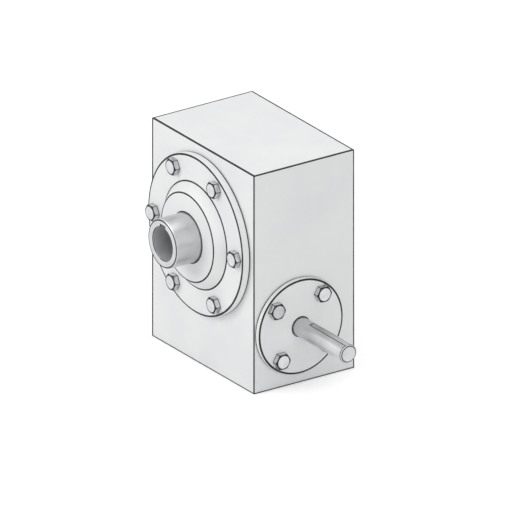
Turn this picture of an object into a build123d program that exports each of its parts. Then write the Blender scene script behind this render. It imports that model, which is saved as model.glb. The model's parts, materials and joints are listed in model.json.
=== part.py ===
from build123d import *

import os
from dataclasses import dataclass
from math import cos, pi, radians, sin, sqrt, tan

import numpy as np

# A right-angle worm gear reducer with a hollow output shaft, in millimetres.
# The origin is the centre of the housing's underside. +Z is up, +X leaves the
# input face along the worm shaft, and -Y leaves the output face.

# Housing
WIDTH = 182.0
DEPTH = 122.0
HEIGHT = 238.0
WALL = 9.0
FLOOR = 14.0
OUTER_EDGE_RADIUS = 0.6
CAVITY_CORNER_RADIUS = 6.0
INPUT_AXIS_HEIGHT = 64.0
INPUT_AXIS_SETBACK = 52.5

# Worm gear: one start, right hand
MODULE = 4.0
WORM_REFERENCE_DIAMETER = 48.0
WORM_THREAD_LENGTH = 64.0
WHEEL_TEETH = 28
PRESSURE_ANGLE = 20.0
ROOT_CLEARANCE = 0.8
FLANK_CLEARANCE = 0.17
WHEEL_FACE_WIDTH = 32.0
WHEEL_OUTSIDE_DIAMETER = 126.0
WHEEL_RIM_BORE = 92.0
WHEEL_HUB_LENGTH = 37.0
WHEEL_HUB_DIAMETER = 76.0
WHEEL_EDGE_CHAMFER = 2.5

# Output shaft
SHAFT_BORE = 35.0
SHAFT_LENGTH_OUT = 49.0
SHAFT_LENGTH_BACK = 5.0
SHAFT_NOSE_DIAMETER = 52.0
SHAFT_COLLAR_DIAMETER = 66.0
SHAFT_COLLAR_RELIEF = 4.0
WHEEL_SEAT_RELIEF = 1.0
WHEEL_SPACER_WALL = 4.0
SEAL_LAND_STEP = 0.4
WHEEL_SEAT_DIAMETER = 60.0
BORE_KEYWAY_WIDTH = 10.0
BORE_KEYWAY_DEPTH = 3.3
SHAFT_CHAMFER = 1.0
WHEEL_KEY_WIDTH = 16.0
WHEEL_KEY_HEIGHT = 10.0
WHEEL_KEY_SHAFT_DEPTH = 6.0
WHEEL_KEY_TOP_GAP = 0.3

# Output cover
OUTPUT_COVER_DIAMETER = 169.0
OUTPUT_COVER_THICKNESS = 8.5
OUTPUT_SPIGOT_DIAMETER = 130.0
OUTPUT_SPIGOT_LENGTH = 8.0
CARRIER_WALL = 9.0
BOSS_BASE_DIAMETER = 112.0
BOSS_TOP_DIAMETER = 93.5
BOSS_HEIGHT = 10.0
OUTPUT_BOLT_CIRCLE = 145.0
OUTPUT_BOLT_COUNT = 6

# Input cover and input shaft
INPUT_COVER_DIAMETER = 102.0
INPUT_COVER_THICKNESS = 6.0
INPUT_BOLT_CIRCLE = 79.5
INPUT_BOLT_COUNT = 4
INPUT_BOLT_START_ANGLE = 51.0
INPUT_SHAFT_DIAMETER = 20.0
INPUT_SHAFT_FREE_LENGTH = 85.5
INPUT_SHAFT_CHAMFER = 1.4
INPUT_SEAL_LAND_DIAMETER = 22.0
INPUT_FLAT_DEPTH = 0.5
INPUT_FLAT_START = 20.0
WORM_SHOULDER_DIAMETER = 32.0
WORM_SHOULDER_TAPER = 6.0
WORM_BEARING_SETBACK = 11.0
WORM_SEAL_STEP = 1.2
WORM_TAIL_LENGTH = 1.5
WORM_TAIL_CHAMFER = 0.5

# Covers, gaskets and seals
GASKET_THICKNESS = 0.5
COVER_LIP = 3.0
COVER_EDGE_CHAMFER = 0.4
LIP_GAP = 0.6
SEAL_TO_BEARING = 4.5
SEAL_RECESS = 0.5
CARRIER_OVERRUN = 1.5
BEARING_PRESS_RIM = 4.0
GASKET_MARGIN = 0.5

# Bolts, all M10
BOLT_DIAMETER = 10.0
BOLT_HEAD_ACROSS_FLATS = 16.0
BOLT_HEAD_HEIGHT = 6.4
BOLT_TIP_CHAMFER = 1.0
BOLT_HOLE_DIAMETER = 11.0
BOLT_ENGAGEMENT = 16.0
TAPPED_SPARE_DEPTH = 2.5
BOLT_LAND = 13.5
INPUT_BOLT_LAND = 10.0
BOSS_DEPTH = 20.0
WORM_BOSS_OVERRUN = 3.0

# Foot holes, tapped M12 from below
FOOT_EDGE_X = 20.0
FOOT_EDGE_Y = 18.0
FOOT_HOLE_DIAMETER = 10.2
FOOT_HOLE_DEPTH = 20.0
FOOT_PAD_RADIUS = 13.0
FOOT_PAD_ROOF = 8.0

# Oil plugs, all M16, on the back face
PLUG_DIAMETER = 16.0
PLUG_HEAD_ACROSS_FLATS = 22.0
PLUG_HEAD_HEIGHT = 7.0
PLUG_FLANGE_DIAMETER = 25.0
PLUG_FLANGE_THICKNESS = 2.5
PLUG_LENGTH = 13.0
PLUG_PAD_DEPTH = 15.0
PLUG_PAD_WALL = 6.0
PLUG_WASHER_THICKNESS = 1.5
PLUG_WASHER_MARGIN = 0.5
PLUG_EDGE = 21.0
LEVEL_PLUG_EDGE = 41.0
DRAIN_HEIGHT = 28.0

# Fits
SLIP_FIT = 0.03
RUNNING_FIT = 0.05

# Output bearings
OUTPUT_BEARING_BORE = 55.0
OUTPUT_BEARING_OUTSIDE = 90.0
OUTPUT_BEARING_WIDTH = 18.0
OUTPUT_BEARING_BALL = 11.0
OUTPUT_BEARING_BALL_COUNT = 12

# Worm bearings
INPUT_BEARING_BORE = 25.0
INPUT_BEARING_OUTSIDE = 62.0
INPUT_BEARING_WIDTH = 17.0
INPUT_BEARING_BALL = 11.5
INPUT_BEARING_BALL_COUNT = 7
CAGE_THICKNESS = 2.4
# Half the height of the gap between the rings, as a share of the ball's diameter
RING_SHOULDER_SHARE = 0.27

# Shaft seals
OUTPUT_SEAL_OUTSIDE = 72.0
OUTPUT_SEAL_WIDTH = 8.0
INPUT_SEAL_OUTSIDE = 35.0
INPUT_SEAL_WIDTH = 7.0
SEAL_WALL = 2.0
SEAL_LIP_BACK = 2.8
SEAL_LIP_SINK = 0.8
SEAL_LIP_ROOT = 1.2
SEAL_LIP_MOUTH = 1.0
GARTER_SPRING_RADIUS = 0.55
# Where the lip's edge and its neck lie, as shares of the seal's width
SEAL_EDGE_SHARE = 0.6
SEAL_NECK_SHARE = 0.35

# Retaining rings
OUTPUT_CIRCLIP_GROOVE = 52.4
OUTPUT_CIRCLIP_HEIGHT = 4.5
OUTPUT_CIRCLIP_THICKNESS = 2.0
INPUT_CIRCLIP_GROOVE = 23.6
INPUT_CIRCLIP_HEIGHT = 3.0
INPUT_CIRCLIP_THICKNESS = 1.2
BORE_CIRCLIP_GROOVE = 65.0
BORE_CIRCLIP_HEIGHT = 4.5
BORE_CIRCLIP_THICKNESS = 2.0
CIRCLIP_SINK = 1.0

# Hexagon heads: the turned-down face as a share of the width across flats
HEX_FACE_SHARE = 0.95
HEX_CHAMFER_ANGLE = 30.0

# Small standard parts
SCREW_DIAMETER = 6.0
SCREW_LENGTH = 12.0
SCREW_SOCKET = 3.0
SCREW_COUNT = 4
CIRCLIP_GAP_ANGLE = 40.0
END_CAP_THICKNESS = 6.0
END_CAP_WALL = 1.6
END_CAP_RECESS = 1.0
END_CAP_CHAMFER = 0.5


@dataclass(frozen=True)
class BearingSize:
    """A deep groove ball bearing."""

    bore: float
    outside: float
    width: float
    ball: float
    count: int

    @property
    def pitch_radius(self):
        """Radius of the circle through the ball centres."""
        return (self.bore + self.outside) / 4

    @property
    def cage_ratio(self):
        """Turns of the cage for one turn of the inner ring."""
        return (1 - self.ball / (2 * self.pitch_radius)) / 2


@dataclass(frozen=True)
class SealSize:
    """A rotary shaft seal."""

    shaft: float
    outside: float
    width: float


@dataclass(frozen=True)
class CirclipSize:
    """A retaining ring: the diameter it sits on, its groove and its section."""

    seat: float
    groove: float
    height: float
    thickness: float


OUTPUT_BEARING = BearingSize(
    bore=OUTPUT_BEARING_BORE,
    outside=OUTPUT_BEARING_OUTSIDE,
    width=OUTPUT_BEARING_WIDTH,
    ball=OUTPUT_BEARING_BALL,
    count=OUTPUT_BEARING_BALL_COUNT,
)
INPUT_BEARING = BearingSize(
    bore=INPUT_BEARING_BORE,
    outside=INPUT_BEARING_OUTSIDE,
    width=INPUT_BEARING_WIDTH,
    ball=INPUT_BEARING_BALL,
    count=INPUT_BEARING_BALL_COUNT,
)
OUTPUT_SEAL = SealSize(SHAFT_NOSE_DIAMETER, OUTPUT_SEAL_OUTSIDE, OUTPUT_SEAL_WIDTH)
INPUT_SEAL = SealSize(INPUT_SEAL_LAND_DIAMETER, INPUT_SEAL_OUTSIDE, INPUT_SEAL_WIDTH)
OUTPUT_CIRCLIP = CirclipSize(
    seat=OUTPUT_BEARING.bore,
    groove=OUTPUT_CIRCLIP_GROOVE,
    height=OUTPUT_CIRCLIP_HEIGHT,
    thickness=OUTPUT_CIRCLIP_THICKNESS,
)
INPUT_CIRCLIP = CirclipSize(
    seat=INPUT_BEARING.bore,
    groove=INPUT_CIRCLIP_GROOVE,
    height=INPUT_CIRCLIP_HEIGHT,
    thickness=INPUT_CIRCLIP_THICKNESS,
)
BORE_CIRCLIP = CirclipSize(
    seat=INPUT_BEARING.outside,
    groove=BORE_CIRCLIP_GROOVE,
    height=BORE_CIRCLIP_HEIGHT,
    thickness=BORE_CIRCLIP_THICKNESS,
)

# Axes. Heights along the output axis are measured out of the output face from
# the middle of the housing, so they are positive towards -Y.
CENTRE_DISTANCE = (WORM_REFERENCE_DIAMETER + MODULE * WHEEL_TEETH) / 2
OUTPUT_AXIS_HEIGHT = INPUT_AXIS_HEIGHT + CENTRE_DISTANCE
OUTPUT_FACE = DEPTH / 2
INPUT_FACE = WIDTH / 2
WHEEL_MIDDLE = OUTPUT_FACE - INPUT_AXIS_SETBACK
OUTPUT_FRAME = Plane(origin=(0, 0, OUTPUT_AXIS_HEIGHT), x_dir=(1, 0, 0), z_dir=(0, -1, 0))
INPUT_FRAME = Plane(origin=(0, -WHEEL_MIDDLE, INPUT_AXIS_HEIGHT), x_dir=(0, 1, 0), z_dir=(1, 0, 0))

# Places along the output axis
OUTPUT_COVER_SEAT = OUTPUT_FACE + GASKET_THICKNESS
OUTPUT_COVER_FACE = OUTPUT_COVER_SEAT + OUTPUT_COVER_THICKNESS
BOSS_TOP = OUTPUT_COVER_FACE + BOSS_HEIGHT
FRONT_SEAL_FACE = BOSS_TOP - COVER_LIP
FRONT_BEARING_OUT = FRONT_SEAL_FACE - OUTPUT_SEAL.width - SEAL_TO_BEARING
FRONT_BEARING_IN = FRONT_BEARING_OUT - OUTPUT_BEARING.width
CARRIER_END = FRONT_BEARING_IN - CARRIER_OVERRUN
WHEEL_HUB_FRONT = WHEEL_MIDDLE + WHEEL_HUB_LENGTH / 2
WHEEL_HUB_BACK = WHEEL_MIDDLE - WHEEL_HUB_LENGTH / 2
WHEEL_SEAT_END = WHEEL_HUB_FRONT - WHEEL_SEAT_RELIEF
WHEEL_FRONT = WHEEL_MIDDLE + WHEEL_FACE_WIDTH / 2
REAR_SEAL_FACE = -OUTPUT_FACE + SEAL_RECESS
REAR_BEARING_OUT = REAR_SEAL_FACE + OUTPUT_SEAL.width + SEAL_TO_BEARING
REAR_BEARING_IN = REAR_BEARING_OUT + OUTPUT_BEARING.width
SHAFT_COLLAR_END = REAR_BEARING_IN + SHAFT_COLLAR_RELIEF
SHAFT_NOSE = OUTPUT_FACE + SHAFT_LENGTH_OUT
SHAFT_TAIL = -OUTPUT_FACE - SHAFT_LENGTH_BACK

# Places along the input axis
INPUT_COVER_SEAT = INPUT_FACE + GASKET_THICKNESS
INPUT_COVER_FACE = INPUT_COVER_SEAT + INPUT_COVER_THICKNESS
INPUT_SEAL_FACE = INPUT_COVER_FACE - COVER_LIP
WORM_BEARING_OUT = INPUT_FACE - WORM_BEARING_SETBACK
WORM_BEARING_IN = WORM_BEARING_OUT - INPUT_BEARING.width
WORM_BOSS_END = WORM_BEARING_IN - WORM_BOSS_OVERRUN
WORM_TAIL = -(WORM_BEARING_OUT + INPUT_CIRCLIP.thickness + WORM_TAIL_LENGTH)
END_CAP_OUT = -INPUT_FACE + END_CAP_RECESS
END_CAP_IN = END_CAP_OUT + END_CAP_THICKNESS
INPUT_SHAFT_END = INPUT_COVER_FACE + INPUT_SHAFT_FREE_LENGTH

# Worm gear proportions
AXIAL_PITCH = pi * MODULE
WORM_RADIUS = WORM_REFERENCE_DIAMETER / 2
WORM_TIP_RADIUS = WORM_RADIUS + MODULE
WORM_ROOT_RADIUS = WORM_RADIUS - MODULE - ROOT_CLEARANCE
WHEEL_PITCH_RADIUS = MODULE * WHEEL_TEETH / 2
THROAT_RADIUS = WORM_RADIUS - MODULE
# Where a tooth flank is worked out, as shares of its height, close together at
# the root where it curves most.
GAP_SECTIONS = 7
FLANK_SHARES = np.linspace(0, 1, 8) ** 1.3
# The curve's own share that its first stretch takes, from the gap's floor up.
FLOOR_SHARE = 0.07
# The wheel is turned through this angle to each side past the worm, in degrees.
MESH_ANGLE = 24.0
MESH_STEPS = 385
RACK_POINTS = 80
# How far a cutter reaches past what it cuts, and how far a thread sinks into its core.
CUT_OVERRUN = 1.0
# How far above the worm's tip the first point of a flank lies.
FLANK_START = 0.01
THREAD_SINK = 0.4


def turned(profile, frame):
    """Turn a closed outline of (radius, height) points about the frame's axis."""
    outline = Polyline(*[(radius, 0, height) for radius, height in profile], close=True)
    return frame.location * revolve(make_face(outline), Axis.Z, 360)


def ring(outer, inner, low, high, frame):
    """A plain ring between two diameters and two heights."""
    corners = [(inner / 2, low), (outer / 2, low), (outer / 2, high), (inner / 2, high)]
    return turned(corners, frame)


def rod(diameter, low, high, frame):
    """A plain round bar between two heights."""
    return turned([(0, low), (diameter / 2, low), (diameter / 2, high), (0, high)], frame)


def spots(circle, count, start, height, frame):
    """Places on a bolt circle, all turned the same way."""
    angles = [radians(start + 360 * k / count) for k in range(count)]
    return [
        frame.location * Pos(circle / 2 * cos(angle), circle / 2 * sin(angle), height)
        for angle in angles
    ]


def flipped(frame, height):
    """The same axis seen from the other side, with its zero at a height."""
    return Plane(origin=frame.origin + frame.z_dir * height, x_dir=frame.x_dir, z_dir=-frame.z_dir)


def raised(frame, height):
    """The same axis with its zero at a height."""
    return Plane(origin=frame.origin + frame.z_dir * height, x_dir=frame.x_dir, z_dir=frame.z_dir)


# Fasteners


def hex_head(across_flats, height):
    """A hexagon with its top corners turned down to a chamfer."""
    prism = extrude(RegularPolygon(across_flats / sqrt(3), 6), height)
    face = HEX_FACE_SHARE * across_flats / 2
    corner = across_flats / sqrt(3) + CUT_OVERRUN
    slope = (corner - face) * tan(radians(HEX_CHAMFER_ANGLE))
    dome = [(0, -CUT_OVERRUN), (corner, -CUT_OVERRUN), (corner, height - slope), (face, height), (0, height)]
    return prism & turned(dome, Plane.XY)


def hex_bolt(grip):
    """A bolt whose head stands on height 0 and whose shank points down."""
    reach = grip + BOLT_ENGAGEMENT
    radius = BOLT_DIAMETER / 2
    tip = radius - BOLT_TIP_CHAMFER
    shank = turned(
        [(0, 0), (radius, 0), (radius, BOLT_TIP_CHAMFER - reach), (tip, -reach), (0, -reach)],
        Plane.XY,
    )
    return hex_head(BOLT_HEAD_ACROSS_FLATS, BOLT_HEAD_HEIGHT) + shank


def bolt_holes(places, height):
    """Clearance holes of a length that start above and end below the places."""
    return [place * Cylinder(BOLT_HOLE_DIAMETER / 2, height) for place in places]


def tapped_holes(places):
    """Tapped holes that go down from the places."""
    depth = BOLT_ENGAGEMENT + TAPPED_SPARE_DEPTH
    radius = BOLT_DIAMETER / 2 + SLIP_FIT
    return [place * Pos(0, 0, -depth / 2) * Cylinder(radius, depth) for place in places]


def output_bolt_places(height):
    """The output cover's bolt places at a height."""
    return spots(OUTPUT_BOLT_CIRCLE, OUTPUT_BOLT_COUNT, 0, height, OUTPUT_FRAME)


def input_bolt_places(height):
    """The input cover's bolt places at a height."""
    return spots(INPUT_BOLT_CIRCLE, INPUT_BOLT_COUNT, INPUT_BOLT_START_ANGLE, height, INPUT_FRAME)


# Housing


def foot_places():
    """Centres of the four foot holes on the underside."""
    return GridLocations(WIDTH - 2 * FOOT_EDGE_X, DEPTH - 2 * FOOT_EDGE_Y, 2, 2).locations


def plug_places():
    """Filler, level and drain plug places on the back face, facing out.

    The level plug is as high as the worm's axis, which is the oil's level.
    """
    side = PLUG_EDGE - INPUT_FACE
    centres = [
        (side, HEIGHT - PLUG_EDGE - WALL),
        (INPUT_FACE - LEVEL_PLUG_EDGE, INPUT_AXIS_HEIGHT),
        (side, DRAIN_HEIGHT),
    ]
    return [
        Plane(origin=(x, DEPTH / 2, z), x_dir=(-1, 0, 0), z_dir=(0, 1, 0)).location
        for x, z in centres
    ]


def cavity():
    """The space inside the walls."""
    inside = Box(
        WIDTH - 2 * WALL,
        DEPTH - 2 * WALL,
        HEIGHT - WALL - FLOOR,
        align=(Align.CENTER, Align.CENTER, Align.MIN),
    )
    inside = fillet(inside.edges(), CAVITY_CORNER_RADIUS)
    return Pos(0, 0, FLOOR) * inside


def inner_bosses():
    """Bosses inside the walls that carry bearings, bolts, plugs and feet."""
    worm_carrier = INPUT_BEARING.outside + 2 * CARRIER_WALL
    output_carrier = OUTPUT_BEARING.outside + 2 * CARRIER_WALL
    bosses = [
        ring(
            OUTPUT_BOLT_CIRCLE + 2 * BOLT_LAND,
            OUTPUT_SPIGOT_DIAMETER,
            OUTPUT_FACE - BOSS_DEPTH,
            OUTPUT_FACE - WALL / 2,
            OUTPUT_FRAME,
        ),
        rod(
            INPUT_BOLT_CIRCLE + 2 * INPUT_BOLT_LAND,
            INPUT_FACE - BOSS_DEPTH,
            INPUT_FACE - WALL / 2,
            INPUT_FRAME,
        ),
        rod(output_carrier, WALL / 2 - OUTPUT_FACE, REAR_BEARING_IN, OUTPUT_FRAME),
        rod(worm_carrier, WORM_BOSS_END, INPUT_FACE - WALL / 2, INPUT_FRAME),
        rod(worm_carrier, WALL / 2 - INPUT_FACE, -WORM_BOSS_END, INPUT_FRAME),
    ]
    pad_height = FOOT_HOLE_DEPTH + FOOT_PAD_ROOF - FLOOR / 2
    for place in foot_places():
        pad = Cylinder(FOOT_PAD_RADIUS, pad_height, align=(Align.CENTER, Align.CENTER, Align.MIN))
        bosses.append(place * Pos(0, 0, FLOOR / 2) * pad)
    pad_depth = PLUG_PAD_DEPTH - WALL / 2
    for place in plug_places():
        pad = Cylinder(PLUG_DIAMETER / 2 + PLUG_PAD_WALL, pad_depth)
        bosses.append(place * Pos(0, 0, -WALL / 2 - pad_depth / 2) * pad)
    return bosses


def housing():
    """The one-piece cast box with its bores, tapped holes and plug holes."""
    box = Box(WIDTH, DEPTH, HEIGHT, align=(Align.CENTER, Align.CENTER, Align.MIN))
    block = fillet(box.edges(), OUTER_EDGE_RADIUS)
    shell = block - cavity() + (Part() + inner_bosses() & box)
    worm_bore = INPUT_BEARING.outside + 2 * SLIP_FIT
    bearing_bore = OUTPUT_BEARING.outside + 2 * SLIP_FIT
    bores = [
        rod(OUTPUT_SPIGOT_DIAMETER, OUTPUT_FACE - BOSS_DEPTH, OUTPUT_FACE, OUTPUT_FRAME),
        rod(bearing_bore, REAR_BEARING_OUT, REAR_BEARING_IN, OUTPUT_FRAME),
        rod(OUTPUT_SEAL.outside + 2 * SLIP_FIT, -OUTPUT_FACE, REAR_BEARING_IN, OUTPUT_FRAME),
        rod(worm_bore, WORM_BOSS_END, INPUT_FACE, INPUT_FRAME),
        rod(worm_bore, -INPUT_FACE, -WORM_BOSS_END, INPUT_FRAME),
        rod(
            BORE_CIRCLIP.groove,
            -WORM_BEARING_OUT - BORE_CIRCLIP.thickness - 2 * SLIP_FIT,
            -WORM_BEARING_OUT,
            INPUT_FRAME,
        ),
    ]
    plug_bore = Cylinder(PLUG_DIAMETER / 2 + SLIP_FIT, PLUG_PAD_DEPTH)
    plugs = [place * Pos(0, 0, -PLUG_PAD_DEPTH / 2) * plug_bore for place in plug_places()]
    foot_hole = Cylinder(
        FOOT_HOLE_DIAMETER / 2, FOOT_HOLE_DEPTH, align=(Align.CENTER, Align.CENTER, Align.MIN)
    )
    feet = [place * foot_hole for place in foot_places()]
    taps = tapped_holes(output_bolt_places(OUTPUT_FACE) + input_bolt_places(INPUT_FACE))
    return shell - bores - plugs - feet - taps


def plug():
    """An oil plug whose flange stands on height 0."""
    shank = rod(PLUG_DIAMETER, -PLUG_LENGTH, 0, Plane.XY)
    flange = rod(PLUG_FLANGE_DIAMETER, 0, PLUG_FLANGE_THICKNESS, Plane.XY)
    head = Pos(0, 0, PLUG_FLANGE_THICKNESS) * hex_head(PLUG_HEAD_ACROSS_FLATS, PLUG_HEAD_HEIGHT)
    return shank + flange + head


def oil_plugs():
    """Filler, level and drain plugs."""
    return [place * Pos(0, 0, PLUG_WASHER_THICKNESS) * plug() for place in plug_places()]


def plug_washers():
    """Sealing washers under the oil plugs."""
    washer = ring(
        PLUG_FLANGE_DIAMETER - 2 * PLUG_WASHER_MARGIN,
        PLUG_DIAMETER + 2 * RUNNING_FIT,
        0,
        PLUG_WASHER_THICKNESS,
        Plane.XY,
    )
    return [place * washer for place in plug_places()]


# Covers


def output_cover():
    """Flange with a coned boss, a locating spigot and the front bearing's carrier."""
    rim = OUTPUT_COVER_DIAMETER / 2
    spigot = OUTPUT_SPIGOT_DIAMETER / 2 - SLIP_FIT
    seat = OUTPUT_BEARING.outside / 2 + SLIP_FIT
    pocket = OUTPUT_SEAL.outside / 2 + SLIP_FIT
    hole = SHAFT_NOSE_DIAMETER / 2 + LIP_GAP
    carrier = seat + CARRIER_WALL
    body = turned(
        [
            (hole, BOSS_TOP),
            (BOSS_TOP_DIAMETER / 2, BOSS_TOP),
            (BOSS_BASE_DIAMETER / 2, OUTPUT_COVER_FACE),
            (rim - COVER_EDGE_CHAMFER, OUTPUT_COVER_FACE),
            (rim, OUTPUT_COVER_FACE - COVER_EDGE_CHAMFER),
            (rim, OUTPUT_COVER_SEAT),
            (spigot, OUTPUT_COVER_SEAT),
            (spigot, OUTPUT_COVER_SEAT - OUTPUT_SPIGOT_LENGTH),
            (carrier, OUTPUT_COVER_SEAT - OUTPUT_SPIGOT_LENGTH),
            (carrier, CARRIER_END),
            (seat, CARRIER_END),
            (seat, FRONT_BEARING_OUT),
            (pocket, FRONT_BEARING_OUT),
            (pocket, FRONT_SEAL_FACE),
            (hole, FRONT_SEAL_FACE),
        ],
        OUTPUT_FRAME,
    )
    return body - bolt_holes(output_bolt_places(OUTPUT_COVER_FACE), 4 * OUTPUT_COVER_THICKNESS)


def input_cover():
    """Flange with a spigot that presses the front worm bearing."""
    rim = INPUT_COVER_DIAMETER / 2
    spigot = INPUT_BEARING.outside / 2 - SLIP_FIT
    pocket = INPUT_SEAL.outside / 2 + SLIP_FIT
    hole = INPUT_SHAFT_DIAMETER / 2 + LIP_GAP
    press = INPUT_BEARING.outside / 2 - BEARING_PRESS_RIM
    pocket_end = INPUT_SEAL_FACE - INPUT_SEAL.width - SEAL_TO_BEARING / 2
    body = turned(
        [
            (hole, INPUT_COVER_FACE),
            (rim - COVER_EDGE_CHAMFER, INPUT_COVER_FACE),
            (rim, INPUT_COVER_FACE - COVER_EDGE_CHAMFER),
            (rim, INPUT_COVER_SEAT),
            (spigot, INPUT_COVER_SEAT),
            (spigot, WORM_BEARING_OUT),
            (press, WORM_BEARING_OUT),
            (press, pocket_end),
            (pocket, pocket_end),
            (pocket, INPUT_SEAL_FACE),
            (hole, INPUT_SEAL_FACE),
        ],
        INPUT_FRAME,
    )
    return body - bolt_holes(input_bolt_places(INPUT_COVER_FACE), 4 * INPUT_COVER_THICKNESS)


def output_cover_gasket():
    """Flat gasket behind the output cover."""
    sheet = ring(
        OUTPUT_COVER_DIAMETER - 2 * GASKET_MARGIN,
        OUTPUT_SPIGOT_DIAMETER + 2 * GASKET_MARGIN,
        OUTPUT_FACE,
        OUTPUT_COVER_SEAT,
        OUTPUT_FRAME,
    )
    return sheet - bolt_holes(output_bolt_places(OUTPUT_FACE), 4 * GASKET_THICKNESS)


def input_cover_gasket():
    """Flat gasket behind the input cover."""
    sheet = ring(
        INPUT_COVER_DIAMETER - 2 * GASKET_MARGIN,
        INPUT_BEARING.outside + 2 * GASKET_MARGIN,
        INPUT_FACE,
        INPUT_COVER_SEAT,
        INPUT_FRAME,
    )
    return sheet - bolt_holes(input_bolt_places(INPUT_FACE), 4 * GASKET_THICKNESS)


def output_cover_bolts():
    """The bolts of the output cover."""
    bolt = hex_bolt(OUTPUT_COVER_THICKNESS + GASKET_THICKNESS)
    return [place * bolt for place in output_bolt_places(OUTPUT_COVER_FACE)]


def input_cover_bolts():
    """The bolts of the input cover."""
    bolt = hex_bolt(INPUT_COVER_THICKNESS + GASKET_THICKNESS)
    return [place * bolt for place in input_bolt_places(INPUT_COVER_FACE)]


def rear_end_cap():
    """Pressed cap that closes the worm bore at the back."""
    outer = INPUT_BEARING.outside / 2
    inner = outer - END_CAP_WALL
    return turned(
        [
            (0, END_CAP_OUT),
            (outer - END_CAP_CHAMFER, END_CAP_OUT),
            (outer, END_CAP_OUT + END_CAP_CHAMFER),
            (outer, END_CAP_IN),
            (inner, END_CAP_IN),
            (inner, END_CAP_OUT + END_CAP_WALL),
            (0, END_CAP_OUT + END_CAP_WALL),
        ],
        INPUT_FRAME,
    )


# Bearings, seals and retaining rings


def bearing_rings(size, frame):
    """Inner and outer ring of a bearing that starts at the frame's origin."""
    middle = size.width / 2
    shoulder = size.ball * RING_SHOULDER_SHARE
    inner = ring(
        2 * (size.pitch_radius - shoulder), size.bore + 2 * SLIP_FIT, 0, size.width, frame
    )
    outer = ring(size.outside, 2 * (size.pitch_radius + shoulder), 0, size.width, frame)
    groove = frame.location * Pos(0, 0, middle) * Torus(
        size.pitch_radius, size.ball / 2 + RUNNING_FIT
    )
    return inner - groove, outer - groove


def bearing_balls(size, frame):
    """The bearing's balls."""
    places = spots(2 * size.pitch_radius, size.count, 0, size.width / 2, frame)
    return [place * Sphere(size.ball / 2) for place in places]


def bearing_cage(size, frame):
    """A cage ring with a round radial pocket for each ball."""
    margin = (size.width - size.ball) / 4
    outer = size.pitch_radius + CAGE_THICKNESS / 2
    inner = size.pitch_radius - CAGE_THICKNESS / 2
    body = ring(2 * outer, 2 * inner, margin, size.width - margin, Plane.XY)
    drill = Cylinder(size.ball / 2 + RUNNING_FIT, 2 * CAGE_THICKNESS)
    pockets = [
        Rot(0, 0, 360 * k / size.count) * Pos(size.pitch_radius, 0, size.width / 2) * Rot(0, 90, 0) * drill
        for k in range(size.count)
    ]
    return frame.location * (body - pockets)


def bearing_nodes(name, size, frame):
    """All pieces of a bearing under their node names."""
    inner, outer = bearing_rings(size, frame)
    return {
        f"{name}_inner_ring": inner,
        f"{name}_outer_ring": outer,
        f"{name}_balls": bearing_balls(size, frame),
        f"{name}_cage": bearing_cage(size, frame),
    }


def seal_nodes(name, size, frame):
    """A seal and its garter spring. The frame stands on the seal's dry face, pointing inwards."""
    outer = size.outside / 2
    shaft = size.shaft / 2
    lip_back = shaft + SEAL_LIP_BACK
    body = turned(
        [
            (outer, 0),
            (outer, size.width),
            (outer - SEAL_WALL, size.width),
            (outer - SEAL_WALL, SEAL_WALL),
            (lip_back, SEAL_WALL),
            (lip_back, size.width - SEAL_LIP_SINK),
            (shaft + SEAL_LIP_ROOT, size.width - SEAL_LIP_SINK),
            (shaft + RUNNING_FIT, size.width * SEAL_EDGE_SHARE),
            (shaft + SEAL_LIP_MOUTH, size.width * SEAL_NECK_SHARE),
            (shaft + SEAL_LIP_MOUTH, 0),
        ],
        frame,
    )
    spring = Torus(lip_back + GARTER_SPRING_RADIUS + SLIP_FIT, GARTER_SPRING_RADIUS)
    return {
        name: body,
        f"{name}_spring": frame.location * Pos(0, 0, size.width - SEAL_WALL) * spring,
    }


def circlip_gap(reach, thickness, frame):
    """A wedge that opens a retaining ring at its lower side."""
    half = radians(CIRCLIP_GAP_ANGLE / 2)
    across = 2 * reach * tan(half)
    outline = Polyline((0, 0), (across / 2, -reach), (-across / 2, -reach), close=True)
    return frame.location * Pos(0, 0, -thickness) * extrude(make_face(outline), 3 * thickness)


def outer_circlip(size, low, frame):
    """A retaining ring in a groove around a shaft."""
    inner = size.groove + 2 * SLIP_FIT
    outer = size.seat + 2 * (size.height - CIRCLIP_SINK)
    body = ring(outer, inner, low, low + size.thickness, frame)
    return body - circlip_gap(size.seat, size.thickness, raised(frame, low))


def inner_circlip(size, low, frame):
    """A retaining ring in a groove inside a bore."""
    outer = size.groove - 2 * SLIP_FIT
    inner = size.seat - 2 * (size.height - CIRCLIP_SINK)
    body = ring(outer, inner, low, low + size.thickness, frame)
    return body - circlip_gap(size.seat, size.thickness, raised(frame, low))


# Output shaft and wheel


def wheel_key(grow=0.0):
    """The key between shaft and wheel, under the shaft, grown by a clearance."""
    length = WHEEL_FACE_WIDTH + 2 * grow
    width = WHEEL_KEY_WIDTH + 2 * grow
    seat = WHEEL_SEAT_DIAMETER / 2 - WHEEL_KEY_SHAFT_DEPTH - grow
    plane = Plane(origin=(0, -seat, WHEEL_MIDDLE), x_dir=(0, 0, 1), z_dir=(0, -1, 0))
    return OUTPUT_FRAME.location * (plane.location * extrude(SlotOverall(length, width), WHEEL_KEY_HEIGHT))


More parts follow.
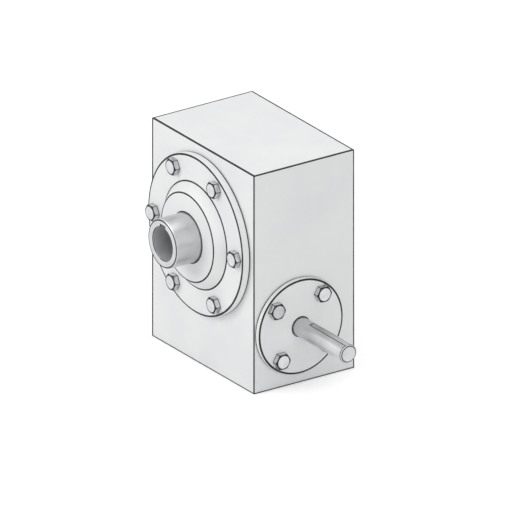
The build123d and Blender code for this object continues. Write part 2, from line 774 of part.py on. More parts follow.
def output_shaft():
    """The hollow shaft, bored and keyed for the driven machine's shaft."""
    bore = SHAFT_BORE / 2
    nose = SHAFT_NOSE_DIAMETER / 2
    journal = OUTPUT_BEARING.bore / 2
    seat = WHEEL_SEAT_DIAMETER / 2
    collar = SHAFT_COLLAR_DIAMETER / 2
    groove = OUTPUT_CIRCLIP.groove / 2
    front_land = FRONT_SEAL_FACE - OUTPUT_SEAL.width - SEAL_LAND_STEP
    rear_land = REAR_SEAL_FACE + OUTPUT_SEAL.width + SEAL_LAND_STEP
    clip_end = FRONT_BEARING_OUT + OUTPUT_CIRCLIP.thickness + 2 * SLIP_FIT
    body = turned(
        [
            (bore + SHAFT_CHAMFER, SHAFT_NOSE),
            (nose - SHAFT_CHAMFER, SHAFT_NOSE),
            (nose, SHAFT_NOSE - SHAFT_CHAMFER),
            (nose, front_land),
            (journal, front_land),
            (journal, clip_end),
            (groove, clip_end),
            (groove, FRONT_BEARING_OUT),
            (journal, FRONT_BEARING_OUT),
            (journal, WHEEL_SEAT_END),
            (seat, WHEEL_SEAT_END),
            (seat, WHEEL_HUB_BACK),
            (collar, WHEEL_HUB_BACK),
            (collar, SHAFT_COLLAR_END),
            (seat, SHAFT_COLLAR_END),
            (seat, REAR_BEARING_IN),
            (journal, REAR_BEARING_IN),
            (journal, rear_land),
            (nose, rear_land),
            (nose, SHAFT_TAIL + SHAFT_CHAMFER),
            (nose - SHAFT_CHAMFER, SHAFT_TAIL),
            (bore + SHAFT_CHAMFER, SHAFT_TAIL),
            (bore, SHAFT_TAIL + SHAFT_CHAMFER),
            (bore, SHAFT_NOSE - SHAFT_CHAMFER),
        ],
        OUTPUT_FRAME,
    )
    length = SHAFT_NOSE - SHAFT_TAIL
    keyway = Box(
        BORE_KEYWAY_WIDTH,
        bore + BORE_KEYWAY_DEPTH,
        length,
        align=(Align.CENTER, Align.MIN, Align.MIN),
    )
    keyway = OUTPUT_FRAME.location * Pos(0, 0, SHAFT_TAIL) * keyway
    return body - keyway - wheel_key(SLIP_FIT)


def wheel_spacer():
    """Sleeve between the wheel hub and the front bearing."""
    inner = OUTPUT_BEARING.bore + 2 * SLIP_FIT
    outer = inner + 2 * WHEEL_SPACER_WALL
    return ring(outer, inner, WHEEL_HUB_FRONT, FRONT_BEARING_IN, OUTPUT_FRAME)


def rim_screws(diameter):
    """Screws across the seam of wheel rim and wheel centre."""
    low = WHEEL_FRONT - SCREW_LENGTH
    return [
        place * Cylinder(diameter / 2, SCREW_LENGTH, align=(Align.CENTER, Align.CENTER, Align.MIN))
        for place in spots(WHEEL_RIM_BORE, SCREW_COUNT, 45, low, OUTPUT_FRAME)
    ]


def rim_lock_screws():
    """Grub screws with a hexagon socket."""
    socket = extrude(RegularPolygon(SCREW_SOCKET / sqrt(3), 6), SCREW_SOCKET)
    places = spots(WHEEL_RIM_BORE, SCREW_COUNT, 45, WHEEL_FRONT - SCREW_SOCKET, OUTPUT_FRAME)
    screws = rim_screws(SCREW_DIAMETER)
    return [screw - place * socket for screw, place in zip(screws, places)]


def wheel_centre():
    """The iron centre that carries the bronze rim."""
    bore = WHEEL_SEAT_DIAMETER / 2 + SLIP_FIT
    hub = WHEEL_HUB_DIAMETER / 2
    outer = WHEEL_RIM_BORE / 2
    half_face = WHEEL_FACE_WIDTH / 2
    body = turned(
        [
            (bore, WHEEL_HUB_BACK),
            (hub, WHEEL_HUB_BACK),
            (hub, WHEEL_MIDDLE - half_face),
            (outer, WHEEL_MIDDLE - half_face),
            (outer, WHEEL_MIDDLE + half_face),
            (hub, WHEEL_MIDDLE + half_face),
            (hub, WHEEL_HUB_FRONT),
            (bore, WHEEL_HUB_FRONT),
        ],
        OUTPUT_FRAME,
    )
    top = WHEEL_SEAT_DIAMETER / 2 - WHEEL_KEY_SHAFT_DEPTH + WHEEL_KEY_HEIGHT + WHEEL_KEY_TOP_GAP
    keyway = Box(
        WHEEL_KEY_WIDTH + 2 * SLIP_FIT,
        top,
        WHEEL_HUB_LENGTH,
        align=(Align.CENTER, Align.MAX, Align.MIN),
    )
    keyway = OUTPUT_FRAME.location * Pos(0, 0, WHEEL_HUB_BACK) * keyway
    return body - keyway - rim_screws(SCREW_DIAMETER + 2 * SLIP_FIT)


def wheel_blank():
    """The rim before its teeth are cut, with the throat that wraps the worm."""
    inner = WHEEL_RIM_BORE / 2 + SLIP_FIT
    outer = WHEEL_OUTSIDE_DIAMETER / 2
    half_face = WHEEL_FACE_WIDTH / 2
    half_throat = sqrt(THROAT_RADIUS**2 - (CENTRE_DISTANCE - outer) ** 2)
    side = outer - WHEEL_EDGE_CHAMFER
    land = half_face - WHEEL_EDGE_CHAMFER
    outline = [
        Polyline(
            (outer, 0, half_throat),
            (outer, 0, land),
            (side, 0, half_face),
            (inner, 0, half_face),
            (inner, 0, -half_face),
            (side, 0, -half_face),
            (outer, 0, -land),
            (outer, 0, -half_throat),
        ),
        ThreePointArc(
            (outer, 0, -half_throat),
            (CENTRE_DISTANCE - THROAT_RADIUS, 0, 0),
            (outer, 0, half_throat),
        ),
    ]
    blank = revolve(make_face(outline), Axis.Z, 360)
    return OUTPUT_FRAME.location * Pos(0, 0, WHEEL_MIDDLE) * blank


def gap_section(offset):
    """Flanks of a tooth gap in a plane beside the worm's axis.

    In such a plane the turning worm is a rack that slides past the wheel. The
    gap is all that the rack's tooth sweeps in the wheel, widened by the flank
    clearance. Returned are radii from the wheel's axis and the angle of the
    gap's two flanks at each radius.
    """
    tip = sqrt(WORM_TIP_RADIUS**2 - offset**2)
    top = CENTRE_DISTANCE - WHEEL_OUTSIDE_DIAMETER / 2 - 2 * CUT_OVERRUN
    up = np.linspace(tip, top, RACK_POINTS)
    radius = np.hypot(offset, up)
    half = AXIAL_PITCH / 4 + (WORM_RADIUS - radius) * tan(radians(PRESSURE_ANGLE))
    middle = -AXIAL_PITCH * np.arctan2(offset, up) / (2 * pi)
    deepest = CENTRE_DISTANCE - tip
    span = WHEEL_OUTSIDE_DIAMETER / 2 + CUT_OVERRUN - deepest
    radii = deepest + FLANK_START + span * FLANK_SHARES
    low = np.full(radii.shape, np.inf)
    high = np.full(radii.shape, -np.inf)
    for turn in np.radians(np.linspace(-MESH_ANGLE, MESH_ANGLE, MESH_STEPS)):
        for side in (1, -1):
            along = WHEEL_PITCH_RADIUS * turn - (middle + side * half)
            reach = np.hypot(along, CENTRE_DISTANCE - up)
            angle = np.arctan2(along, CENTRE_DISTANCE - up) - turn
            seen = np.interp(radii, reach, angle, left=np.nan, right=np.nan)
            low = np.fmin(low, seen)
            high = np.fmax(high, seen)
    # The root is relieved to the width of the flank's next point, which keeps the curve smooth.
    low[0] = low[1]
    high[0] = high[1]
    return radii, low - FLANK_CLEARANCE / radii, high + FLANK_CLEARANCE / radii


def gap_wire(offset):
    """The closed outline of a tooth gap in one plane, in the output frame."""
    radii, low, high = gap_section(offset)
    height = WHEEL_MIDDLE - offset

    def place(radius, angle):
        return (-radius * sin(angle), -radius * cos(angle), height)

    knots = [0, *(FLOOR_SHARE + (1 - FLOOR_SHARE) * FLANK_SHARES)]
    floor = radii[0] - ROOT_CLEARANCE
    right = [place(floor, low[0])] + [place(r, a) for r, a in zip(radii, low)]
    left = [place(floor, high[0])] + [place(r, a) for r, a in zip(radii, high)]
    return Wire(
        [
            Edge.make_spline(right, parameters=knots),
            Line(right[-1], left[-1]).edge(),
            Edge.make_spline(left[::-1], parameters=[1 - knot for knot in knots[::-1]]),
            Line(left[0], right[0]).edge(),
        ]
    )


def worm_wheel_rim():
    """The bronze rim with its teeth."""
    half = WHEEL_FACE_WIDTH / 2 + CUT_OVERRUN
    wires = [gap_wire(offset) for offset in np.linspace(half, -half, GAP_SECTIONS)]
    gap = Solid.make_loft(wires)
    axis = Axis((0, 0, 0), (0, 0, 1))
    gaps = [
        OUTPUT_FRAME.location * gap.rotate(axis, 360 * k / WHEEL_TEETH) for k in range(WHEEL_TEETH)
    ]
    return wheel_blank() - gaps - rim_screws(SCREW_DIAMETER + 2 * SLIP_FIT)


# Input shaft


def worm_thread():
    """The worm's thread, cut off at both ends by a chamfer."""
    root = WORM_ROOT_RADIUS - THREAD_SINK
    slope = tan(radians(PRESSURE_ANGLE))
    turns = int(WORM_THREAD_LENGTH / AXIAL_PITCH) // 2 + 2
    start = -turns * AXIAL_PITCH

    def corner(radius, side):
        half = AXIAL_PITCH / 4 + (WORM_RADIUS - radius) * slope
        return (radius, 0, start + side * half)

    outline = Polyline(
        corner(root, -1),
        corner(WORM_TIP_RADIUS, -1),
        corner(WORM_TIP_RADIUS, 1),
        corner(root, 1),
        close=True,
    )
    path = Helix(AXIAL_PITCH, 2 * turns * AXIAL_PITCH, WORM_RADIUS, center=(0, 0, start))
    thread = sweep(make_face(outline), path=path, is_frenet=True)
    half = WORM_THREAD_LENGTH / 2
    clear = WORM_TIP_RADIUS + CUT_OVERRUN
    run_out = clear - WORM_ROOT_RADIUS
    keep = turned(
        [
            (0, -half),
            (WORM_ROOT_RADIUS, -half),
            (clear, run_out / 2 - half),
            (clear, half - run_out / 2),
            (WORM_ROOT_RADIUS, half),
            (0, half),
        ],
        Plane.XY,
    )
    # Local X of this frame is world Z, so a thread crest is at the top at X = 0.
    upright = Plane(origin=INPUT_FRAME.origin, x_dir=(0, 0, 1), z_dir=(1, 0, 0))
    return upright.location * (thread & keep)


def worm_shaft():
    """The input shaft, in one piece with the worm."""
    nose = INPUT_SHAFT_DIAMETER / 2
    land = INPUT_SEAL_LAND_DIAMETER / 2
    journal = INPUT_BEARING.bore / 2
    shoulder = WORM_SHOULDER_DIAMETER / 2
    groove = INPUT_CIRCLIP.groove / 2
    clip_end = WORM_BEARING_OUT + INPUT_CIRCLIP.thickness + 2 * SLIP_FIT
    core_half = WORM_THREAD_LENGTH / 2 + WORM_SHOULDER_TAPER
    land_end = INPUT_SEAL_FACE - SEAL_RECESS
    body = turned(
        [
            (0, WORM_TAIL),
            (journal - WORM_TAIL_CHAMFER, WORM_TAIL),
            (journal, WORM_TAIL + WORM_TAIL_CHAMFER),
            (journal, -clip_end),
            (groove, -clip_end),
            (groove, -WORM_BEARING_OUT),
            (journal, -WORM_BEARING_OUT),
            (journal, -WORM_BEARING_IN),
            (shoulder, -WORM_BEARING_IN),
            (shoulder, -core_half - WORM_SHOULDER_TAPER),
            (WORM_ROOT_RADIUS, -core_half),
            (WORM_ROOT_RADIUS, core_half),
            (shoulder, core_half + WORM_SHOULDER_TAPER),
            (shoulder, WORM_BEARING_IN),
            (journal, WORM_BEARING_IN),
            (journal, WORM_BEARING_OUT),
            (groove, WORM_BEARING_OUT),
            (groove, clip_end),
            (journal, clip_end),
            (journal, clip_end + WORM_SEAL_STEP),
            (land, clip_end + WORM_SEAL_STEP),
            (land, land_end),
            (nose, land_end),
            (nose, INPUT_SHAFT_END - INPUT_SHAFT_CHAMFER),
            (nose - INPUT_SHAFT_CHAMFER, INPUT_SHAFT_END),
            (0, INPUT_SHAFT_END),
        ],
        INPUT_FRAME,
    )
    flat_start = INPUT_COVER_FACE + INPUT_FLAT_START
    flat = Box(
        INPUT_SHAFT_DIAMETER,
        INPUT_FLAT_DEPTH,
        INPUT_SHAFT_END - flat_start,
        align=(Align.CENTER, Align.MAX, Align.MIN),
    )
    flat = INPUT_FRAME.location * Pos(0, nose, flat_start) * flat
    return body + worm_thread() - flat


def build_nodes():
    """Every piece of the reducer under its node name."""
    front_output = raised(OUTPUT_FRAME, FRONT_BEARING_IN)
    rear_output = raised(OUTPUT_FRAME, REAR_BEARING_OUT)
    front_input = raised(INPUT_FRAME, WORM_BEARING_IN)
    rear_input = raised(INPUT_FRAME, -WORM_BEARING_OUT)
    nodes = {
        "housing": housing(),
        "oil_plugs": oil_plugs(),
        "plug_washers": plug_washers(),
        "output_cover": output_cover(),
        "output_cover_gasket": output_cover_gasket(),
        "output_cover_bolts": output_cover_bolts(),
        "input_cover": input_cover(),
        "input_cover_gasket": input_cover_gasket(),
        "input_cover_bolts": input_cover_bolts(),
        "rear_end_cap": rear_end_cap(),
        "rear_bore_retaining_ring": inner_circlip(
            BORE_CIRCLIP, -WORM_BEARING_OUT - BORE_CIRCLIP.thickness - SLIP_FIT, INPUT_FRAME
        ),
        "output_shaft": output_shaft(),
        "wheel_key": wheel_key(),
        "wheel_centre": wheel_centre(),
        "worm_wheel_rim": worm_wheel_rim(),
        "rim_lock_screws": rim_lock_screws(),
        "wheel_spacer": wheel_spacer(),
        "output_shaft_retaining_ring": outer_circlip(
            OUTPUT_CIRCLIP, FRONT_BEARING_OUT + SLIP_FIT, OUTPUT_FRAME
        ),
        "worm_shaft": worm_shaft(),
        "front_worm_retaining_ring": outer_circlip(
            INPUT_CIRCLIP, WORM_BEARING_OUT + SLIP_FIT, INPUT_FRAME
        ),
        "rear_worm_retaining_ring": outer_circlip(
            INPUT_CIRCLIP, -WORM_BEARING_OUT - INPUT_CIRCLIP.thickness - SLIP_FIT, INPUT_FRAME
        ),
    }
    nodes |= bearing_nodes("front_output_bearing", OUTPUT_BEARING, front_output)
    nodes |= bearing_nodes("rear_output_bearing", OUTPUT_BEARING, rear_output)
    nodes |= bearing_nodes("front_worm_bearing", INPUT_BEARING, front_input)
    nodes |= bearing_nodes("rear_worm_bearing", INPUT_BEARING, rear_input)
    nodes |= seal_nodes("front_output_seal", OUTPUT_SEAL, flipped(OUTPUT_FRAME, FRONT_SEAL_FACE))
    nodes |= seal_nodes("rear_output_seal", OUTPUT_SEAL, raised(OUTPUT_FRAME, REAR_SEAL_FACE))
    nodes |= seal_nodes("input_seal", INPUT_SEAL, flipped(INPUT_FRAME, INPUT_SEAL_FACE))
    return nodes


def main():
    """Write one STEP file for each node."""
    os.makedirs("parts", exist_ok=True)
    for name, shape in build_nodes().items():
        solids = shape if isinstance(shape, list) else [shape]
        whole = Compound(children=[solid for item in solids for solid in item.solids()])
        export_step(whole, f"parts/{name}.step")
    print("output cage ratio", round(OUTPUT_BEARING.cage_ratio, 5))
    print("input cage ratio", round(INPUT_BEARING.cage_ratio, 5))


main()
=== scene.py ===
import json
import logging
import math
from dataclasses import dataclass, field
from enum import Enum
from typing import Sequence

import bpy
import numpy as np
from mathutils import Matrix, Vector


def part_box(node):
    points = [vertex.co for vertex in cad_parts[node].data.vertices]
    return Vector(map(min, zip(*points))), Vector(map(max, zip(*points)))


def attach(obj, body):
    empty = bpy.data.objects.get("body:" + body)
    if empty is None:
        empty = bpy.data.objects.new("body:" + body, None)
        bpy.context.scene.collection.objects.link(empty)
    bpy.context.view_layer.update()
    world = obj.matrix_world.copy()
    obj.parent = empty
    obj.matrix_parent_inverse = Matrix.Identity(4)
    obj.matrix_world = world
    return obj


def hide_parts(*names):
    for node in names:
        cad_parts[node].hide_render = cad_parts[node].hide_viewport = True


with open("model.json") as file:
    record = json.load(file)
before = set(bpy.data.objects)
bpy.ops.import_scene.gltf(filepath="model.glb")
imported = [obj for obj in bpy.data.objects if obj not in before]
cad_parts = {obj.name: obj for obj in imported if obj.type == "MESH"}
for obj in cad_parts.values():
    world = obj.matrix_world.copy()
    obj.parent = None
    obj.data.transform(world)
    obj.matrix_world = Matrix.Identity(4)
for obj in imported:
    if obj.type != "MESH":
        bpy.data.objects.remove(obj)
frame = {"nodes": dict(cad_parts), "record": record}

log = logging.getLogger("gear_reducer")

MM = 0.001
EDGE_ATTRIBUTE = "edge_distance"
FAR_FROM_EDGE = 5.0 * MM
HEX_FACE_SHARE = 0.95
WASHER_FACE = 0.4 * MM
CLOUD_START = 0.35
CLOUD_END = 0.7
HEXAGON_POWER = 44
FEW_OCTAVES = 2
SOME_OCTAVES = 3
MANY_OCTAVES = 4

Rows = np.ndarray
Colour = tuple[float, float, float]


class Body(Enum):
    """The rigid bodies of the reducer that a piece can ride on."""

    HOUSING = "housing"
    OUTPUT = "output"
    INPUT = "input"


class Slot(Enum):
    """The finishes that the record names."""

    PAINT = "painted_casting"
    PLATED = "plated_steel"
    GROUND = "ground_steel"
    BRONZE = "bronze"
    IRON = "cast_iron"
    GASKET = "gasket_sheet"
    RUBBER = "seal_rubber"
    BRASS = "brass"
    BEARING = "bearing_steel"
    SPRING = "spring_steel"


class Line(Enum):
    """The axis line that a turned piece is turned about."""

    OUTPUT = 1
    INPUT = 0


@dataclass(frozen=True)
class Span:
    """A node's extent along the three axes, in metres."""

    low: Vector
    high: Vector

    @classmethod
    def of(cls, node: str) -> "Span":
        """Measure a CAD node.

        Args:
            node: The node's name.

        Returns:
            Its lowest and highest corners.
        """
        low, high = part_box(node)
        return cls(low, high)

    @property
    def middle(self) -> Vector:
        """The centre of the extent."""
        return (self.low + self.high) / 2

    def radius(self, axis: int) -> float:
        """Half the extent along one axis."""
        return (self.high[axis] - self.low[axis]) / 2


class NodeTree:
    """Adds shader nodes to one material and wires them."""

    def __init__(self, name: str) -> None:
        """Start an empty material.

        Args:
            name: The material's name.
        """
        self.material = bpy.data.materials.new(name)
        self.material.use_nodes = True
        self.tree = self.material.node_tree
        self.tree.nodes.clear()
        self.shader = self.add("ShaderNodeBsdfPrincipled")
        output = self.add("ShaderNodeOutputMaterial")
        self.link(self.shader.outputs["BSDF"], output.inputs["Surface"])
        self.place = self.add("ShaderNodeTexCoord").outputs["Object"]

    def add(self, kind: str, **settings: object) -> bpy.types.Node:
        """Add one node and set its properties.

        Args:
            kind: The node's type name.
            **settings: Properties of the node.

        Returns:
            The new node.
        """
        node = self.tree.nodes.new(kind)
        for key, value in settings.items():
            setattr(node, key, value)
        return node

    def link(self, source: bpy.types.NodeSocket, target: bpy.types.NodeSocket) -> None:
        """Wire two sockets."""
        self.tree.links.new(source, target)

    def feed(self, node: bpy.types.Node, index: int | str, value: object) -> None:
        """Give an input a number, a colour or another node's output.

        Args:
            node: The node that takes the value.
            index: Which input.
            value: A socket, or a plain value.
        """
        if isinstance(value, bpy.types.NodeSocket):
            self.link(value, node.inputs[index])
        else:
            node.inputs[index].default_value = value

    def math(self, operation: str, first: object, second: object = 0.0) -> bpy.types.NodeSocket:
        """One Math node.

        Args:
            operation: The node's operation.
            first: First value or socket.
            second: Second value or socket.

        Returns:
            The result's socket.
        """
        node = self.add("ShaderNodeMath", operation=operation)
        self.feed(node, 0, first)
        self.feed(node, 1, second)
        return node.outputs[0]

    def length(self, first: object, second: object) -> bpy.types.NodeSocket:
        """Length of a two-number difference.

        Args:
            first: Its first number or socket.
            second: Its second number or socket.

        Returns:
            The length's socket.
        """
        squares = [self.math("MULTIPLY", item, item) for item in (first, second)]
        return self.math("SQRT", self.math("ADD", *squares))

    def radius(self, line: Line, centre: Vector) -> bpy.types.NodeSocket:
        """Distance from an axis line.

        Args:
            line: The axis line.
            centre: A point on it.

        Returns:
            The distance's socket.
        """
        split = self.add("ShaderNodeSeparateXYZ")
        self.link(self.place, split.inputs[0])
        offsets = [
            self.math("SUBTRACT", split.outputs[axis], centre[axis])
            for axis in range(3)
            if axis != line.value
        ]
        return self.length(*offsets)

    def noise(
        self, scale: float, detail: float, stretch: Sequence[float] = (1, 1, 1)
    ) -> bpy.types.NodeSocket:
        """Noise over the piece's own coordinates.

        Args:
            scale: Cells per metre.
            detail: Octaves.
            stretch: Factors along X, Y and Z, where a small one draws the pattern out.

        Returns:
            The noise's value socket.
        """
        mapping = self.add("ShaderNodeMapping")
        self.link(self.place, mapping.inputs["Vector"])
        mapping.inputs["Scale"].default_value = stretch
        node = self.add("ShaderNodeTexNoise")
        self.link(mapping.outputs["Vector"], node.inputs["Vector"])
        node.inputs["Scale"].default_value = scale
        node.inputs["Detail"].default_value = detail
        return node.outputs["Fac"]

    def band(
        self, value: object, low: float, high: float, start: float, end: float
    ) -> bpy.types.NodeSocket:
        """Map one range to another with smooth, clamped ends.

        Args:
            value: The value or socket.
            low: Where the range starts.
            high: Where the range ends.
            start: The result at the start.
            end: The result at the end.

        Returns:
            The mapped socket.
        """
        node = self.add("ShaderNodeMapRange", interpolation_type="SMOOTHSTEP")
        for index, item in enumerate((value, low, high, start, end)):
            self.feed(node, index, item)
        return node.outputs["Result"]

    def cloud(self, scale: float) -> bpy.types.NodeSocket:
        """Soft patches between 0 and 1, so many cells to the metre."""
        return self.band(self.noise(scale, MANY_OCTAVES), CLOUD_START, CLOUD_END, 0.0, 1.0)

    def roughen(self, base: float, grain: object, swing: float, extra: object = 0.0) -> None:
        """Set the roughness.

        Args:
            base: The least roughness.
            grain: The pattern that it follows.
            swing: How much the pattern adds.
            extra: What is added in places.
        """
        rough = self.math("ADD", base, self.math("MULTIPLY", grain, swing))
        self.link(self.math("ADD", rough, extra), self.shader.inputs["Roughness"])

    def blend(self, factor: object, first: object, second: object) -> bpy.types.NodeSocket:
        """Mix two colours.

        Args:
            factor: 0 for the first colour and 1 for the second.
            first: A colour or socket.
            second: A colour or socket.

        Returns:
            The mixed colour's socket.
        """
        node = self.add("ShaderNodeMix", data_type="RGBA")
        colours = [item for item in node.inputs if item.type == "RGBA"]
        self.feed(node, 0, factor)
        for socket, item in zip(colours, (first, second)):
            if isinstance(item, bpy.types.NodeSocket):
                self.link(item, socket)
            else:
                socket.default_value = (*item, 1.0)
        return [item for item in node.outputs if item.type == "RGBA"][0]

    def bump(self, height: object, strength: float, depth: float) -> None:
        """Raise the surface by a height map.

        Args:
            height: The height's socket.
            strength: How much of the bump shows.
            depth: The bump's depth in metres.
        """
        node = self.add("ShaderNodeBump")
        node.inputs["Strength"].default_value = strength
        node.inputs["Distance"].default_value = depth
        self.feed(node, "Height", height)
        self.link(node.outputs["Normal"], self.shader.inputs["Normal"])


@dataclass(frozen=True)
class Rim:
    """A round edge of a turned piece, and how wide its line is on the face and on the side."""

    radius: float
    along: float
    face: float = 1.0
    side: float = 0.55


@dataclass(frozen=True)
class Flat:
    """A flat on top of a shaft: the middle of its first edge, and half its width."""

    start: Vector
    half_width: float


@dataclass(frozen=True)
class EdgeLine:
    """A thin dark line: worn paint along an edge, and painted shade along a crease, a joint or
    a hole's rim.

    Attributes:
        width: How far the line reaches from the edge.
        soft: Half the width of its blurred border.
        unevenness: How much the border wavers, as a share of the width.
        waver: The size of the wavering, in cells per metre.
        lid: The line's share on a box's lid.
        under_lid: Its share just below the lid.
        lid_start: Depth at which the lid's share begins to fade.
        lid_end: Depth at which it is gone.
        output_ends: What the upright lines of the output face gain, rear and input end.
        input_ends: What those of the input face gain, output and back end.
    """

    width: float = 1.45 * MM
    soft: float = 0.22 * MM
    unevenness: float = 0.12
    waver: float = 90.0
    lid: float = 1.55
    under_lid: float = 0.55
    lid_start: float = 0.2 * MM
    lid_end: float = 0.7 * MM
    output_ends: tuple[float, float] = (0.7, -0.15)
    input_ends: tuple[float, float] = (-0.35, 0.15)

    def mask(self, nodes: NodeTree, distance: bpy.types.NodeSocket) -> bpy.types.NodeSocket:
        """Turn a distance from the edge into a mask.

        Args:
            nodes: The material being made.
            distance: Metres from the nearest edge.

        Returns:
            1 on the edge and 0 away from it.
        """
        sway = self.unevenness * self.width
        drift = nodes.math("MULTIPLY", nodes.noise(self.waver, SOME_OCTAVES), 2 * sway)
        near = nodes.math("ADD", distance, drift)
        middle = self.width + sway
        return nodes.band(near, middle - self.soft, middle + self.soft, 1.0, 0.0)

    def box_distance(self, nodes: NodeTree, span: Span) -> bpy.types.NodeSocket:
        """Distance from the nearest edge of a box.

        The three depths under the box's faces are sorted, and on the surface
        the smallest is zero, so the second smallest is the distance. Lines are
        wider on the lid, where tools and hands slide over the edge, and
        narrower just below it. The upright edges of the output and input faces
        are worn unevenly too. So the depths are divided by those shares first.

        Args:
            nodes: The material being made.
            span: The box.

        Returns:
            The distance's socket.
        """
        split = nodes.add("ShaderNodeSeparateXYZ")
        nodes.link(nodes.place, split.inputs[0])
        below = nodes.math("SUBTRACT", span.high.z, split.outputs[2])
        lid = nodes.band(below, self.lid_start, self.lid_end, self.lid - 1, 0.0)
        lower = nodes.band(below, self.lid_start, self.lid_end, 0.0, 1.0)
        offsets = [
            nodes.math("SUBTRACT", split.outputs[axis], span.middle[axis]) for axis in range(2)
        ]
        depths = []
        # An upright line's gain counts on its own face, and is nothing on the face opposite
        faces = (((1.0, 0.0), self.output_ends), ((0.0, 1.0), self.input_ends))
        for axis, (face, ends) in enumerate(faces):
            far, other = span.radius(axis), span.radius(1 - axis)
            depth = nodes.math("SUBTRACT", far, nodes.math("ABSOLUTE", offsets[axis]))
            on_face = nodes.band(offsets[1 - axis], -other, other, *face)
            along = nodes.band(offsets[axis], -far, far, *ends)
            lean = nodes.math("MULTIPLY", on_face, along)
            extra = nodes.math("ADD", lid, nodes.math("MULTIPLY", lower, lean))
            depths.append(nodes.math("DIVIDE", depth, nodes.math("ADD", extra, 1.0)))
        above = nodes.math("SUBTRACT", split.outputs[2], span.low.z)
        upright = nodes.math("MINIMUM", nodes.math("DIVIDE", below, self.under_lid), above)
        low = nodes.math("MINIMUM", *depths)
        high = nodes.math("MAXIMUM", *depths)
        return nodes.math("MAXIMUM", low, nodes.math("MINIMUM", high, upright))

    def rim_distance(
        self, nodes: NodeTree, line: Line, centre: Vector, rims: Sequence[Rim]
    ) -> bpy.types.NodeSocket:
        """Distance from the nearest of several round edges.

        In the plane of radius and axis a round edge is a point, so each
        distance is the length of a two-number difference. Each number is first
        divided by the rim's share for that direction, so that a line can be
        wider on the face than on the side below it.

        Args:
            nodes: The material being made.
            line: The axis line.
            centre: A point on the axis.
            rims: The round edges.

        Returns:
            The distance's socket.
        """
        split = nodes.add("ShaderNodeSeparateXYZ")
        nodes.link(nodes.place, split.inputs[0])
        radius = nodes.radius(line, centre)
        nearest = None
        for rim in rims:
            across = nodes.math("SUBTRACT", radius, rim.radius)
            along = nodes.math("SUBTRACT", split.outputs[line.value], rim.along)
            distance = nodes.length(
                nodes.math("DIVIDE", across, rim.face), nodes.math("DIVIDE", along, rim.side)
            )
            nearest = distance if nearest is None else nodes.math("MINIMUM", nearest, distance)
        return nearest

    def flat_distance(
        self, nodes: NodeTree, start: Vector, half_width: float
    ) -> bpy.types.NodeSocket:
        """Distance from the outline of a flat on top of a shaft along X.

        The outline is two straight edges, at half the flat's width to each
        side, and the step across the shaft where the flat begins.

        Args:
            nodes: The material being made.
            start: The middle of the step, on the flat.
            half_width: Half the flat's width.

        Returns:
            The distance's socket.
        """
        split = nodes.add("ShaderNodeSeparateXYZ")
        nodes.link(nodes.place, split.inputs[0])
        past = nodes.math("SUBTRACT", split.outputs[0], start.x)
        aside = nodes.math("ABSOLUTE", nodes.math("SUBTRACT", split.outputs[1], start.y))
        across = nodes.math("SUBTRACT", aside, half_width)
        above = nodes.math("SUBTRACT", split.outputs[2], start.z)
        before = nodes.math("MINIMUM", past, 0.0)
        sides = nodes.length(nodes.length(across, above), before)
        below = nodes.math("MINIMUM", above, 0.0)
        beyond = nodes.math("MAXIMUM", across, 0.0)
        step = nodes.length(nodes.length(past, below), beyond)
        return nodes.math("MINIMUM", sides, step)


@dataclass(frozen=True)
class WornPaint:
    """Off-white machine paint over a casting, worn to dark iron along its edges; on the covers
    the same dark colour is also painted shade in creases, at joints and around holes.
    """

    name: str
    line: EdgeLine = EdgeLine()
    paint: Colour = (0.83, 0.84, 0.84)
    shade: Colour = (0.79, 0.80, 0.81)
    iron: Colour = (0.012, 0.012, 0.013)
    roughness: float = 0.42
    worn_roughness: float = 0.35
    sheen: float = 60.0
    sheen_swing: float = 0.12
    patches: float = 14.0
    specks: float = 420.0
    speck_start: float = 0.70
    speck_end: float = 0.76
    speck_strength: float = 0.35
    speck_shade: float = 0.82
    sand: float = 700.0
    lumps: float = 180.0
    lump_share: float = 1.5
    paint_coat: float = 1.2
    grain: float = 0.10
    relief: float = 0.25 * MM

    def finish(self, nodes: NodeTree, mask: bpy.types.NodeSocket) -> bpy.types.Material:
        """Dress the material once its edge mask is known.

        Args:
            nodes: The material being made.
            mask: 1 where the paint is worn off, and on lines of painted shade.

        Returns:
            The finished material.
        """
        skin = nodes.blend(nodes.cloud(self.patches), self.paint, self.shade)
        spots = nodes.noise(self.specks, FEW_OCTAVES)
        speck = nodes.band(spots, self.speck_start, self.speck_end, 0.0, self.speck_strength)
        dust = tuple(self.speck_shade * part for part in self.paint)
        dusted = nodes.blend(speck, skin, dust)
        # Dark iron where the paint is worn, and painted shade on the covers' lines in creases,
        # at joints and around holes
        nodes.link(nodes.blend(mask, dusted, self.iron), nodes.shader.inputs["Base Color"])
        matt = nodes.math("MULTIPLY", mask, self.worn_roughness)
        sheen = nodes.noise(self.sheen, SOME_OCTAVES)
        nodes.roughen(self.roughness, sheen, self.sheen_swing, matt)
        lumps = nodes.math("MULTIPLY", nodes.noise(self.lumps, FEW_OCTAVES), self.lump_share)
        cast = nodes.math("ADD", nodes.noise(self.sand, SOME_OCTAVES), lumps)
        worn = nodes.math("SUBTRACT", cast, nodes.math("MULTIPLY", mask, self.paint_coat))
        nodes.bump(worn, self.grain, self.relief)
        return nodes.material

    def box(self, span: Span) -> bpy.types.Material:
        """Paint for a box."""
        nodes = NodeTree(self.name)
        return self.finish(nodes, self.line.mask(nodes, self.line.box_distance(nodes, span)))

    def turned(self, line: Line, centre: Vector, rims: Sequence[Rim]) -> bpy.types.Material:
        """Paint for a turned cover, whose rim lines are worn edges and painted shade in
        creases, at joints and around holes.

        Args:
            line: The axis line.
            centre: A point on the axis.
            rims: The round edges.

        Returns:
            The finished material.
        """
        nodes = NodeTree(self.name)
        distance = self.line.rim_distance(nodes, line, centre, rims)
        return self.finish(nodes, self.line.mask(nodes, distance))


